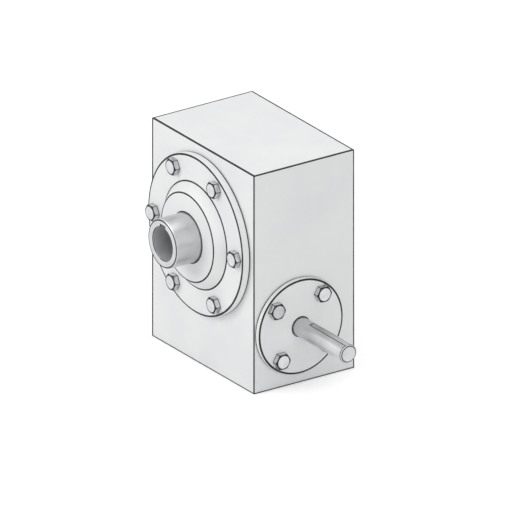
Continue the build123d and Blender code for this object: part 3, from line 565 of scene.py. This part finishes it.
@dataclass(frozen=True)
class TurnedSteel:
    """Bright steel off a lathe, with fine rings around its axis."""

    name: str
    line: Line
    colour: Colour = (0.62, 0.63, 0.64)
    roughness: float = 0.26
    feed: float = 2600.0
    edge: Colour = (0.03, 0.03, 0.033)
    stains: float = 45.0
    stain_start: float = 0.3
    stain_end: float = 0.75
    stain_shade: float = 0.86
    ring_swing: float = 0.14
    ring_draw: float = 0.02
    ring_relief: float = 0.25
    ring_depth: float = 0.02 * MM
    rim_line: EdgeLine = EdgeLine(width=0.7 * MM, soft=0.2 * MM)
    flat_line: EdgeLine = EdgeLine(width=0.45 * MM, soft=0.15 * MM)
    bore: float = 0.0
    bore_roughness: float = 0.36
    bore_fade: float = 0.3 * MM

    def build(
        self, centre: Vector, rims: Sequence[Rim] = (), flat: Flat | None = None
    ) -> bpy.types.Material:
        """Make the material.

        Args:
            centre: A point on the axis.
            rims: Round edges that get a thin dark line.
            flat: A flat whose outline gets one too.

        Returns:
            The finished material.
        """
        nodes = NodeTree(self.name)
        stretch = [self.ring_draw] * 3
        stretch[self.line.value] = 1.0
        rings = nodes.noise(self.feed, FEW_OCTAVES, stretch)
        film = nodes.noise(self.stains, MANY_OCTAVES)
        stain = nodes.band(film, self.stain_start, self.stain_end, 0.0, 1.0)
        darker = tuple(self.stain_shade * part for part in self.colour)
        colour: object = nodes.blend(stain, self.colour, darker)
        if rims:
            distance = self.rim_line.rim_distance(nodes, self.line, centre, rims)
            colour = nodes.blend(self.rim_line.mask(nodes, distance), colour, self.edge)
        if flat:
            distance = self.flat_line.flat_distance(nodes, flat.start, flat.half_width)
            colour = nodes.blend(self.flat_line.mask(nodes, distance), colour, self.edge)
        nodes.link(colour, nodes.shader.inputs["Base Color"])
        nodes.shader.inputs["Metallic"].default_value = 1.0
        duller = self.reamed(nodes, centre) if self.bore else 0.0
        nodes.roughen(self.roughness, rings, self.ring_swing, duller)
        nodes.bump(rings, self.ring_relief, self.ring_depth)
        return nodes.material

    def reamed(self, nodes: NodeTree, centre: Vector) -> bpy.types.NodeSocket:
        """Extra roughness inside the bore, whose reamed wall is duller.

        Args:
            nodes: The material being made.
            centre: A point on the axis.

        Returns:
            The roughness to add.
        """
        radius = nodes.radius(self.line, centre)
        fade = self.bore + self.bore_fade
        return nodes.band(radius, self.bore, fade, self.bore_roughness, 0.0)


@dataclass(frozen=True)
class Metal:
    """Plain metal with a cloudy tint and a fine grain."""

    name: str
    colour: Colour
    roughness: float
    tint: Colour
    grain_scale: float = 900.0
    grain: float = 0.12
    metallic: float = 1.0
    patches: float = 110.0
    grain_swing: float = 0.15
    relief: float = 0.04 * MM

    def build(self) -> bpy.types.Material:
        """Make the material.

        Returns:
            The finished material.
        """
        nodes = NodeTree(self.name)
        skin = nodes.blend(nodes.cloud(self.patches), self.colour, self.tint)
        nodes.link(skin, nodes.shader.inputs["Base Color"])
        nodes.shader.inputs["Metallic"].default_value = self.metallic
        grain = nodes.noise(self.grain_scale, SOME_OCTAVES)
        nodes.roughen(self.roughness, grain, self.grain_swing)
        nodes.bump(grain, self.grain, self.relief)
        return nodes.material


@dataclass(frozen=True)
class ZincPlate:
    """Bright zinc plate, worn to dark steel along the edges of a hexagon, with painted shade in
    the same dark colour around the foot where the head sits on its seat.
    """

    name: str = "zinc_plate"
    colour: Colour = (0.66, 0.67, 0.68)
    tint: Colour = (0.57, 0.59, 0.60)
    steel: Colour = (0.03, 0.03, 0.033)
    roughness: float = 0.24
    line: EdgeLine = EdgeLine(width=0.42 * MM, soft=0.16 * MM)
    patches: float = 160.0
    grain_scale: float = 1100.0
    grain: float = 0.15
    grain_swing: float = 0.12
    worn_roughness: float = 0.2
    relief: float = 0.03 * MM

    def build(self) -> bpy.types.Material:
        """Make the material, which reads each point's distance from an edge.

        Returns:
            The finished material.
        """
        nodes = NodeTree(self.name)
        distance = nodes.add("ShaderNodeAttribute", attribute_name=EDGE_ATTRIBUTE)
        mask = self.line.mask(nodes, distance.outputs["Fac"])
        plate = nodes.blend(nodes.cloud(self.patches), self.colour, self.tint)
        # Dark steel where the plate is worn on the head's edges, and painted shade around its
        # foot where it sits on its seat
        nodes.link(nodes.blend(mask, plate, self.steel), nodes.shader.inputs["Base Color"])
        nodes.shader.inputs["Metallic"].default_value = 1.0
        grain = nodes.noise(self.grain_scale, SOME_OCTAVES)
        matt = nodes.math("MULTIPLY", mask, self.worn_roughness)
        nodes.roughen(self.roughness, grain, self.grain_swing, matt)
        nodes.bump(grain, self.grain, self.relief)
        return nodes.material


def hexagon_radius(angle: Rows, across_flats: float) -> Rows:
    """Radius of a hexagon with slightly rounded corners, a corner at angle 0.

    Each pair of flats holds the radius under half the width over the cosine
    of the angle to it, and a high power mean joins the three smoothly.

    Args:
        angle: Angles around the axis.
        across_flats: Width across the flats.

    Returns:
        The radius at each angle.
    """
    flats = np.radians([30.0, 90.0, 150.0])
    pull = np.abs(np.cos(angle[..., None] - flats)) / (across_flats / 2)
    return 1 / np.sum(pull**HEXAGON_POWER, axis=-1) ** (1 / HEXAGON_POWER)


@dataclass(frozen=True)
class ThreadForm:
    """An outer screw thread.

    Attributes:
        diameter: Over the crests.
        pitch: From one crest to the next.
        length: Of the whole shank.
        steps: Rings for each pitch.
        slope: Steepness of the triangle wave before it is clipped.
        root: How much of the wave the flat root takes.
        depth_share: The thread's depth, in pitches.
        tip_share: How much the tip tapers, in depths of thread.
    """

    diameter: float
    pitch: float
    length: float
    steps: int = 5
    slope: float = 2.4
    root: float = 0.1
    depth_share: float = 0.58
    tip_share: float = 0.3

    def radius(self, angle: Rows, depth: Rows) -> Rows:
        """Radius of the thread's surface.

        A triangle wave runs along the helix, with its crest flattened, and it
        fades out at the tip's chamfer.

        Args:
            angle: Angles around the axis.
            depth: Distance below the head.

        Returns:
            The radius at each place.
        """
        phase = (depth / self.pitch + angle / (2 * np.pi)) % 1.0
        wave = np.clip(np.abs(phase - 0.5) * self.slope - self.root, 0.0, 1.0)
        height = self.depth_share * self.pitch
        tip = np.clip((self.length - depth) / self.pitch, 0.0, 1.0)
        core = self.diameter / 2 - height
        return core - self.tip_share * height * (1 - tip) + height * wave * tip


@dataclass(frozen=True)
class HexFastener:
    """A hex head on a threaded shank, standing on its washer face.

    Attributes:
        across_flats: Width of the hexagon.
        head: Height of the head above its flange.
        thread: The shank.
        columns: Points around each ring.
        head_steps: Rings along the hexagon.
        flange_radius: Of the round flange, or 0 without one.
        flange: Its thickness.
        bend: Where the foot's side ends, in heights of the foot.
        draw: How much the foot narrows above, in its heights.
        foot_line: Reach of the dark line on the foot, which is painted shade where the head
            sits on its seat.
        top_line: Reach of the worn line on top.
        top_edge: Distance from an edge that is given to that line's inner ring.
        middle_share: Radius of the ring inside it, as a share of the top's.
    """

    across_flats: float
    head: float
    thread: ThreadForm
    columns: int = 72
    head_steps: int = 16
    flange_radius: float = 0.0
    flange: float = 0.0
    bend: float = 0.6
    draw: float = 0.2
    foot_line: float = 0.4 * MM
    top_line: float = 1.1 * MM
    top_edge: float = 0.5 * MM
    middle_share: float = 0.45

    def head_rows(self, angle: Rows) -> list[tuple[Rows, float, Rows]]:
        """Rings of the head from the washer face up, with each point's distance from an edge.

        The top corners are turned down at 30 degrees: the radius is the
        hexagon's or the turning cone's, whichever is less. The two meet at
        the top less the hexagon's overhang over the square root of 3.

        Args:
            angle: Angles around the axis.

        Returns:
            Radius, height and distance of each ring.
        """
        hexagon = hexagon_radius(angle, self.across_flats)
        face = HEX_FACE_SHARE * self.across_flats / 2
        foot = self.flange if self.flange else WASHER_FACE
        rim = self.flange_radius if self.flange else face
        top = self.flange + self.head
        fold = top - (hexagon - face) / math.sqrt(3)
        corner = hexagon * np.abs(np.sin((angle + np.pi / 6) % (np.pi / 3) - np.pi / 6))
        rows = [
            # The washer face and the head's lower edge count as edges, so the dark line there
            # is painted shade where the head sits on its seat
            (rim, 0.0, 0.0),
            (rim, self.bend * foot, self.bend * foot),
            (rim - self.draw * foot, foot, self.draw * foot),
            (np.minimum(hexagon + self.foot_line, rim), foot, self.foot_line),
            (hexagon, foot, 0.0),
        ]
        for height in np.linspace(foot, top, self.head_steps + 1)[1:]:
            radius = np.minimum(hexagon, face + (top - height) * math.sqrt(3))
            below = np.where(height < fold, np.minimum(corner, height - foot), top - height)
            rows.append((radius, height, np.minimum(below, np.abs(height - fold))))
        rows += [
            (face - self.top_line, top, self.top_edge),
            (self.middle_share * face, top, FAR_FROM_EDGE),
        ]
        return [
            (np.broadcast_to(radius, angle.shape), height, np.broadcast_to(edge, angle.shape))
            for radius, height, edge in rows
        ]

    def mesh_rows(self) -> tuple[Rows, Rows, Rows, Rows]:
        """The whole fastener as rings from the tip of the shank to the top.

        Returns:
            Angles, radii, heights and distances from an edge, one row for each ring.
        """
        angle = np.linspace(0, 2 * np.pi, self.columns, endpoint=False)
        depth = np.arange(self.thread.length, 0, -self.thread.pitch / self.thread.steps)
        shank = self.thread.radius(angle[None, :], depth[:, None])
        whole = np.ones(angle.shape)
        far = FAR_FROM_EDGE * whole
        rings = [(shank[0].min() / 2 * whole, -self.thread.length, far)]
        rings += [(radius, -below, far) for radius, below in zip(shank, depth)]
        rings.append((self.thread.diameter / 2 * whole, 0.0, far))
        rings += self.head_rows(angle)
        radii = np.array([radius for radius, _, _ in rings])
        heights = np.array([height for _, height, _ in rings])[:, None] * whole
        edges = np.array([edge for _, _, edge in rings])
        return np.broadcast_to(angle, radii.shape), radii, heights, edges


def ring_stack(
    angle: Rows, radius: Rows, height: Rows, edge: Rows
) -> tuple[Rows, list[tuple[int, ...]], Rows]:
    """Points and faces of a closed stack of rings.

    A point is (radius cos angle, radius sin angle, height). Quads join each
    ring to the next, and a fan closes each end on its middle.

    Args:
        angle: Angles, one row for each ring.
        radius: Radii, one row for each ring.
        height: Heights, one row for each ring.
        edge: Distances from an edge, one row for each ring.

    Returns:
        The points, the faces, which point outwards, and each point's distance.
    """
    rows, columns = radius.shape
    points = np.stack([radius * np.cos(angle), radius * np.sin(angle), height], axis=-1)
    ends = np.array([[0, 0, height[0, 0]], [0, 0, height[-1, 0]]])
    here = np.arange(columns)
    beside = (here + 1) % columns
    base = (np.arange(rows - 1) * columns)[:, None]
    above = base + columns
    quads = np.stack([base + here, base + beside, above + beside, above + here], axis=-1)
    faces = [tuple(quad) for quad in quads.reshape(-1, 4).tolist()]
    bottom, top = rows * columns, rows * columns + 1
    last = (rows - 1) * columns
    faces += [(bottom, int(b), int(a)) for a, b in zip(here, beside)]
    faces += [(top, last + int(a), last + int(b)) for a, b in zip(here, beside)]
    every_point = np.concatenate([points.reshape(-1, 3), ends])
    every_edge = np.concatenate([edge.reshape(-1), [FAR_FROM_EDGE, FAR_FROM_EDGE]])
    return every_point, faces, every_edge


def add_piece(
    name: str,
    points: Rows,
    faces: list[tuple[int, ...]],
    edge: Rows | None = None,
    sharp: float = 35.0,
) -> bpy.types.Object:
    """Make a mesh object at the origin.

    Args:
        name: The piece's name.
        points: Its points in metres.
        faces: Its faces.
        edge: Each point's distance from an edge, for the finish to read.
        sharp: Edges that turn more than this many degrees stay sharp.

    Returns:
        The new object.
    """
    mesh = bpy.data.meshes.new(name)
    mesh.from_pydata(points.tolist(), [], faces)
    mesh.update()
    if edge is not None:
        layer = mesh.attributes.new(EDGE_ATTRIBUTE, "FLOAT", "POINT")
        layer.data.foreach_set("value", edge.astype(np.float32))
    piece = bpy.data.objects.new(name, mesh)
    bpy.context.scene.collection.objects.link(piece)
    mesh.shade_smooth()
    mesh.set_sharp_from_angle(angle=math.radians(sharp))
    return piece


def group_of(
    fastener: HexFastener, places: Sequence[Matrix]
) -> tuple[Rows, list[tuple[int, ...]], Rows]:
    """Copies of one fastener at several places, as one mesh.

    Args:
        fastener: The fastener.
        places: Where its washer face stands.

    Returns:
        The points, faces and distances from an edge of all copies.
    """
    points, faces, edge = ring_stack(*fastener.mesh_rows())
    every_point, every_face = [], []
    for index, place in enumerate(places):
        turn = np.array(place.to_3x3())
        every_point.append(points @ turn.T + np.array(place.translation))
        shift = index * len(points)
        every_face += [tuple(corner + shift for corner in face) for face in faces]
    return np.concatenate(every_point), every_face, np.tile(edge, len(places))


def dress(node: str, material: bpy.types.Material) -> None:
    """Give a CAD node one material alone.

    Args:
        node: The node's name.
        material: Its finish.
    """
    materials = frame["nodes"][node].data.materials
    materials.clear()
    materials.append(material)


@dataclass
class BoltCircle:
    """Bolts of one cover, on a circle about one axis line."""

    name: str
    node: str
    line: Line
    centre: Vector
    seat: float
    radius: float
    count: int
    start: float
    bolt: HexFastener

    def places(self) -> list[Matrix]:
        """Stand the bolts on their circle, heads outwards.

        Returns:
            Where each bolt's washer face stands.
        """
        if self.line is Line.OUTPUT:
            axes = Matrix(((1, 0, 0), (0, 0, -1), (0, 1, 0)))
        else:
            axes = Matrix(((0, 0, 1), (1, 0, 0), (0, 1, 0)))
        spots = []
        for index in range(self.count):
            angle = math.radians(self.start + 360 * index / self.count)
            local = Vector((self.radius * math.cos(angle), self.radius * math.sin(angle), 0))
            spot = axes @ local + self.centre
            spot[self.line.value] = self.seat
            spots.append(Matrix.Translation(spot) @ axes.to_4x4())
        return spots

    def build(self, material: bpy.types.Material) -> bpy.types.Object:
        """Make the bolts in place of their CAD node.

        Args:
            material: The bolts' finish.

        Returns:
            The new piece.
        """
        piece = add_piece(self.name, *group_of(self.bolt, self.places()))
        piece.data.materials.append(material)
        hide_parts(self.node)
        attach(piece, Body.HOUSING.value)
        return piece


@dataclass
class Housing:
    """The cast box and what closes its hidden faces."""

    span: Span = field(default_factory=lambda: Span.of("housing"))
    washer_radius: float = 12.0 * MM
    plug_width: float = 22.0 * MM
    plug_flange: float = 2.5 * MM
    plug_flange_radius: float = 12.5 * MM
    plug_thread: ThreadForm = ThreadForm(diameter=16.0 * MM, pitch=1.5 * MM, length=13.0 * MM)

    def dress(self) -> None:
        """Paint the box and finish the end cap."""
        dress("housing", WornPaint("housing_paint").box(self.span))
        cap = Span.of("rear_end_cap")
        rim = Rim(cap.radius(1), cap.low.x)
        dress("rear_end_cap", TurnedSteel("cap_steel", Line.INPUT).build(cap.middle, [rim]))

    def plugs(self, material: bpy.types.Material) -> bpy.types.Object:
        """Make the oil plugs in place of their CAD node.

        Each washer's middle gives a plug's place, and the plugs' highest
        reach gives their height.

        Args:
            material: The plugs' finish.

        Returns:
            The new piece.
        """
        plugs = Span.of("oil_plugs")
        washers = Span.of("plug_washers")
        seat = washers.high.y
        half = self.washer_radius
        left, right = washers.low.x + half, washers.high.x - half
        low, high = washers.low.z + half, washers.high.z - half
        level = Span.of("input_cover").middle.z
        plug = HexFastener(
            across_flats=self.plug_width,
            head=plugs.high.y - seat - self.plug_flange,
            thread=self.plug_thread,
            flange_radius=self.plug_flange_radius,
            flange=self.plug_flange,
        )
        axes = Matrix(((-1, 0, 0), (0, 0, 1), (0, 1, 0)))
        places = [
            Matrix.Translation((x, seat, z)) @ axes.to_4x4()
            for x, z in ((left, high), (right, level), (left, low))
        ]
        piece = add_piece("oil_plugs_threaded", *group_of(plug, places))
        piece.data.materials.append(material)
        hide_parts("oil_plugs")
        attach(piece, Body.HOUSING.value)
        return piece


@dataclass
class OutputSide:
    """The large cover, its bolts and the hollow shaft."""

    cover: Span = field(default_factory=lambda: Span.of("output_cover"))
    shaft: Span = field(default_factory=lambda: Span.of("output_shaft"))
    bolts: Span = field(default_factory=lambda: Span.of("output_cover_bolts"))
    boss_base: float = 56.0 * MM
    boss_top: float = 46.75 * MM
    boss_height: float = 10.0 * MM
    hole: float = 26.6 * MM
    nose: float = 26.0 * MM
    bore: float = 17.5 * MM
    chamfer: float = 1.0 * MM
    bolt: HexFastener = HexFastener(
        across_flats=16.0 * MM,
        head=6.4 * MM,
        thread=ThreadForm(diameter=10.0 * MM, pitch=1.5 * MM, length=25.0 * MM),
    )

    @property
    def face(self) -> float:
        """Where the flange's outer face lies."""
        return self.cover.low.y + self.boss_height

    def dress(self) -> None:
        """Paint the cover and finish the shaft."""
        centre = self.shaft.middle
        seat = Span.of("housing").low.y
        rims = [
            Rim(self.cover.radius(0), self.face, face=1.4, side=0.35),
            # Worn back edge of the flange, and painted shade along its joint with the housing
            Rim(self.cover.radius(0), seat, side=1.0),
            # Painted shade in the crease at the foot of the boss
            Rim(self.boss_base, self.face, face=0.75, side=0.4),
            Rim(self.boss_top, self.cover.low.y, face=0.8, side=0.4),
            # Worn edge of the hole, and painted shade around the shaft where it leaves the
            # cover
            Rim(self.hole, self.cover.low.y, face=0.5, side=0.4),
        ]
        dress("output_cover", WornPaint("output_cover_paint").turned(Line.OUTPUT, centre, rims))
        half = self.chamfer / 2
        ends = []
        for along, inward in ((self.shaft.low.y, half), (self.shaft.high.y, -half)):
            ends.append(Rim(self.nose - self.chamfer, along, face=1.6))
            ends.append(Rim(self.bore + half, along + inward, face=1.3))
        steel = TurnedSteel("output_shaft_steel", Line.OUTPUT, bore=self.bore)
        dress("output_shaft", steel.build(centre, ends))

    def bolt_circle(self) -> BoltCircle:
        """Lay out the cover's bolts.

        Returns:
            Their circle.
        """
        corner = self.bolt.across_flats / math.sqrt(3)
        return BoltCircle(
            name="output_cover_bolts_threaded",
            node="output_cover_bolts",
            line=Line.OUTPUT,
            centre=self.shaft.middle,
            seat=self.bolts.low.y + self.bolt.head,
            radius=self.bolts.radius(0) - corner,
            count=6,
            start=0.0,
            bolt=self.bolt,
        )


@dataclass
class InputSide:
    """The small cover, its bolts and the worm shaft."""

    cover: Span = field(default_factory=lambda: Span.of("input_cover"))
    shaft: Span = field(default_factory=lambda: Span.of("worm_shaft"))
    bolts: Span = field(default_factory=lambda: Span.of("input_cover_bolts"))
    circle: float = 39.75 * MM
    start: float = 51.0
    nose: float = 10.0 * MM
    hole: float = 10.6 * MM
    chamfer: float = 1.4 * MM
    flat_depth: float = 0.5 * MM
    flat_start: float = 20.0 * MM
    bolt: HexFastener = HexFastener(
        across_flats=16.0 * MM,
        head=6.4 * MM,
        thread=ThreadForm(diameter=10.0 * MM, pitch=1.5 * MM, length=22.5 * MM),
    )

    def dress(self) -> None:
        """Paint the cover and finish the shaft."""
        centre = self.cover.middle
        seat = Span.of("housing").high.x
        rims = [
            Rim(self.cover.radius(1), self.cover.high.x, face=1.4, side=0.35),
            # Worn back edge of the flange, and painted shade along its joint with the housing
            Rim(self.cover.radius(1), seat, side=1.0),
            # Worn edge of the hole, and painted shade around the shaft where it leaves the
            # cover
            Rim(self.hole, self.cover.high.x, face=0.4, side=0.4),
        ]
        dress("input_cover", WornPaint("input_cover_paint").turned(Line.INPUT, centre, rims))
        end = self.shaft.high.x
        ends = [Rim(self.nose, end - self.chamfer), Rim(self.nose - self.chamfer, end)]
        level = self.nose - self.flat_depth
        start = Vector((self.cover.high.x + self.flat_start, centre.y, centre.z + level))
        flat = Flat(start, math.sqrt(self.nose**2 - level**2))
        steel = TurnedSteel("worm_shaft_steel", Line.INPUT)
        dress("worm_shaft", steel.build(centre, ends, flat))

    def bolt_circle(self) -> BoltCircle:
        """Lay out the cover's bolts.

        Returns:
            Their circle.
        """
        return BoltCircle(
            name="input_cover_bolts_threaded",
            node="input_cover_bolts",
            line=Line.INPUT,
            centre=self.cover.middle,
            seat=self.bolts.high.x - self.bolt.head,
            radius=self.circle,
            count=4,
            start=self.start,
            bolt=self.bolt,
        )


@dataclass
class Inside:
    """The wheel, bearings, seals and small parts, nearly all hidden in the housing."""

    dressed: tuple[str, ...] = (
        "housing",
        "output_cover",
        "input_cover",
        "output_shaft",
        "worm_shaft",
        "rear_end_cap",
    )

    def dress(self) -> None:
        """Give every node without a finish of its own the finish of its slot."""
        finishes = {
            Slot.BRONZE: Metal("bronze_teeth", (0.62, 0.40, 0.16), 0.24, (0.55, 0.34, 0.12)),
            Slot.IRON: Metal("iron_centre", (0.20, 0.20, 0.21), 0.45, (0.15, 0.15, 0.16)),
            Slot.GASKET: Metal(
                "gasket_fibre", (0.03, 0.035, 0.04), 0.7, (0.05, 0.055, 0.06), 1600, 0.4, 0.0
            ),
            Slot.RUBBER: Metal(
                "seal_rubber", (0.018, 0.018, 0.018), 0.5, (0.028, 0.028, 0.03), 1200, 0.2, 0.0
            ),
            Slot.BRASS: Metal("brass_cages", (0.70, 0.50, 0.22), 0.28, (0.62, 0.43, 0.17)),
            Slot.BEARING: Metal("ground_rings", (0.70, 0.71, 0.72), 0.10, (0.64, 0.65, 0.66)),
            Slot.SPRING: Metal(
                "phosphated_rings", (0.06, 0.06, 0.065), 0.42, (0.09, 0.09, 0.095)
            ),
            Slot.GROUND: Metal(
                "ground_small_parts", (0.50, 0.51, 0.52), 0.28, (0.42, 0.43, 0.44)
            ),
        }
        made = {}
        for entry in frame["record"]["subparts"]:
            node = entry["node"]
            kind = Slot(entry["material_slot"])
            if node in self.dressed or kind is Slot.PLATED:
                continue
            if kind not in made:
                made[kind] = finishes[kind].build()
            dress(node, made[kind])


@dataclass(frozen=True)
class Lamp:
    """A soft square lamp: its place from the reducer's middle, its side and its watts."""

    name: str
    offset: tuple[float, float, float]
    size: float
    power: float


def hang(name: str, data: bpy.types.ID, place: Vector, back: Vector) -> bpy.types.Object:
    """Put a camera or a lamp in the scene.

    Args:
        name: Its name.
        data: The camera's or lamp's data.
        place: Where it hangs.
        back: The direction it points away from.

    Returns:
        The new object.
    """
    thing = bpy.data.objects.new(name, data)
    thing.location = place
    thing.rotation_mode = "QUATERNION"
    thing.rotation_quaternion = back.to_track_quat("Z", "Y")
    bpy.context.scene.collection.objects.link(thing)
    return thing


@dataclass
class Studio:
    """Floor, white surroundings, lamps and the drawing's parallel view."""

    azimuth: float = 55.73
    elevation: float = 23.16
    image: float = 512.0
    mm_per_pixel: float = 1.003
    corner_pixel: tuple[float, float] = (253.95, 394.63)
    distance: float = 3.0
    floor_half: float = 4.0
    floor_colour: Colour = (0.82, 0.82, 0.82)
    floor_roughness: float = 0.9
    floor_glow: float = 0.36
    room_level: float = 0.5
    lights: tuple[Lamp, ...] = (
        Lamp("key", (-0.5, -1.6, 0.9), 1.2, 13.0),
        Lamp("fill", (1.8, -0.4, 0.6), 1.4, 8.0),
        Lamp("top", (0.1, 0.1, 1.8), 1.6, 8.0),
        Lamp("behind", (-1.2, 1.5, 0.8), 1.4, 5.0),
    )

    def directions(self) -> tuple[Vector, Vector, Vector]:
        """Work out how the camera is turned.

        Returns:
            Its right, up and back.
        """
        turn, tilt = math.radians(self.azimuth), math.radians(self.elevation)
        right = Vector((math.cos(turn), math.sin(turn), 0))
        level = Vector((math.sin(turn), -math.cos(turn), 0))
        back = level * math.cos(tilt) + Vector((0, 0, math.sin(tilt)))
        return right, back.cross(right), back

    def camera(self, span: Span) -> None:
        """Aim a parallel camera, with the box's near lower corner on its pixel.

        Args:
            span: The housing's extent.
        """
        right, up, back = self.directions()
        pixel = self.mm_per_pixel * MM
        across = (self.corner_pixel[0] - self.image / 2) * pixel
        down = (self.corner_pixel[1] - self.image / 2) * pixel
        corner = Vector((span.high.x, span.low.y, span.low.z))
        target = corner - right * across + up * down
        data = bpy.data.cameras.new("camera")
        data.type = "ORTHO"
        data.ortho_scale = self.image * pixel
        camera = hang("camera", data, target + back * self.distance, back)
        bpy.context.scene.camera = camera

    def floor(self, height: float) -> None:
        """A pale floor that stays white to the camera but keeps the shadow.

        Args:
            height: Where the reducer stands.
        """
        half = self.floor_half
        square = ((-half, -half), (half, -half), (half, half), (-half, half))
        corners = np.array([(x, y, height) for x, y in square])
        piece = add_piece("floor", corners, [(0, 1, 2, 3)])
        nodes = NodeTree("floor_white")
        nodes.shader.inputs["Base Color"].default_value = (*self.floor_colour, 1)
        nodes.shader.inputs["Roughness"].default_value = self.floor_roughness
        nodes.shader.inputs["Emission Color"].default_value = (1, 1, 1, 1)
        rays = nodes.add("ShaderNodeLightPath").outputs
        seen = nodes.math("MAXIMUM", rays["Is Camera Ray"], rays["Is Glossy Ray"])
        glow = nodes.math("MULTIPLY", seen, self.floor_glow)
        nodes.link(glow, nodes.shader.inputs["Emission Strength"])
        piece.data.materials.append(nodes.material)

    def world(self) -> None:
        """White to the camera and in reflections, and softer on the object."""
        world = bpy.data.worlds.new("white_room")
        world.use_nodes = True
        bpy.context.scene.world = world
        tree = world.node_tree
        background = tree.nodes["Background"]
        background.inputs["Color"].default_value = (1, 1, 1, 1)
        path = tree.nodes.new("ShaderNodeLightPath")
        seen = tree.nodes.new("ShaderNodeMath")
        seen.operation = "MAXIMUM"
        tree.links.new(path.outputs["Is Camera Ray"], seen.inputs[0])
        tree.links.new(path.outputs["Is Glossy Ray"], seen.inputs[1])
        level = tree.nodes.new("ShaderNodeMapRange")
        level.inputs["To Min"].default_value = self.room_level
        level.inputs["To Max"].default_value = 1.0
        tree.links.new(seen.outputs[0], level.inputs["Value"])
        tree.links.new(level.outputs["Result"], background.inputs["Strength"])

    def lamps(self, aim: Vector) -> None:
        """Hang the lamps, which the camera doesn't see.

        Args:
            aim: What they point at.
        """
        for lamp in self.lights:
            data = bpy.data.lights.new(lamp.name, "AREA")
            data.size = lamp.size
            data.energy = lamp.power
            offset = Vector(lamp.offset)
            hang(lamp.name, data, aim + offset, offset).visible_camera = False


def main() -> None:
    """Dress the reducer, add its threaded fasteners and set up the studio."""
    logging.basicConfig(level=logging.INFO, format="%(name)s: %(message)s")
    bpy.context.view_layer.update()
    bpy.context.scene.view_settings.view_transform = "Standard"
    zinc = ZincPlate().build()
    housing = Housing()
    output = OutputSide()
    input_side = InputSide()
    Inside().dress()
    for part in (housing, output, input_side):
        part.dress()
        log.info("dressed %s", type(part).__name__)
    made = [
        output.bolt_circle().build(zinc),
        input_side.bolt_circle().build(zinc),
        housing.plugs(zinc),
    ]
    for piece in made:
        log.info("built %s with %d faces", piece.name, len(piece.data.polygons))
    studio = Studio()
    studio.world()
    studio.floor(housing.span.low.z)
    studio.lamps(housing.span.middle)
    studio.camera(housing.span)


if __name__ == "__main__":
    main()
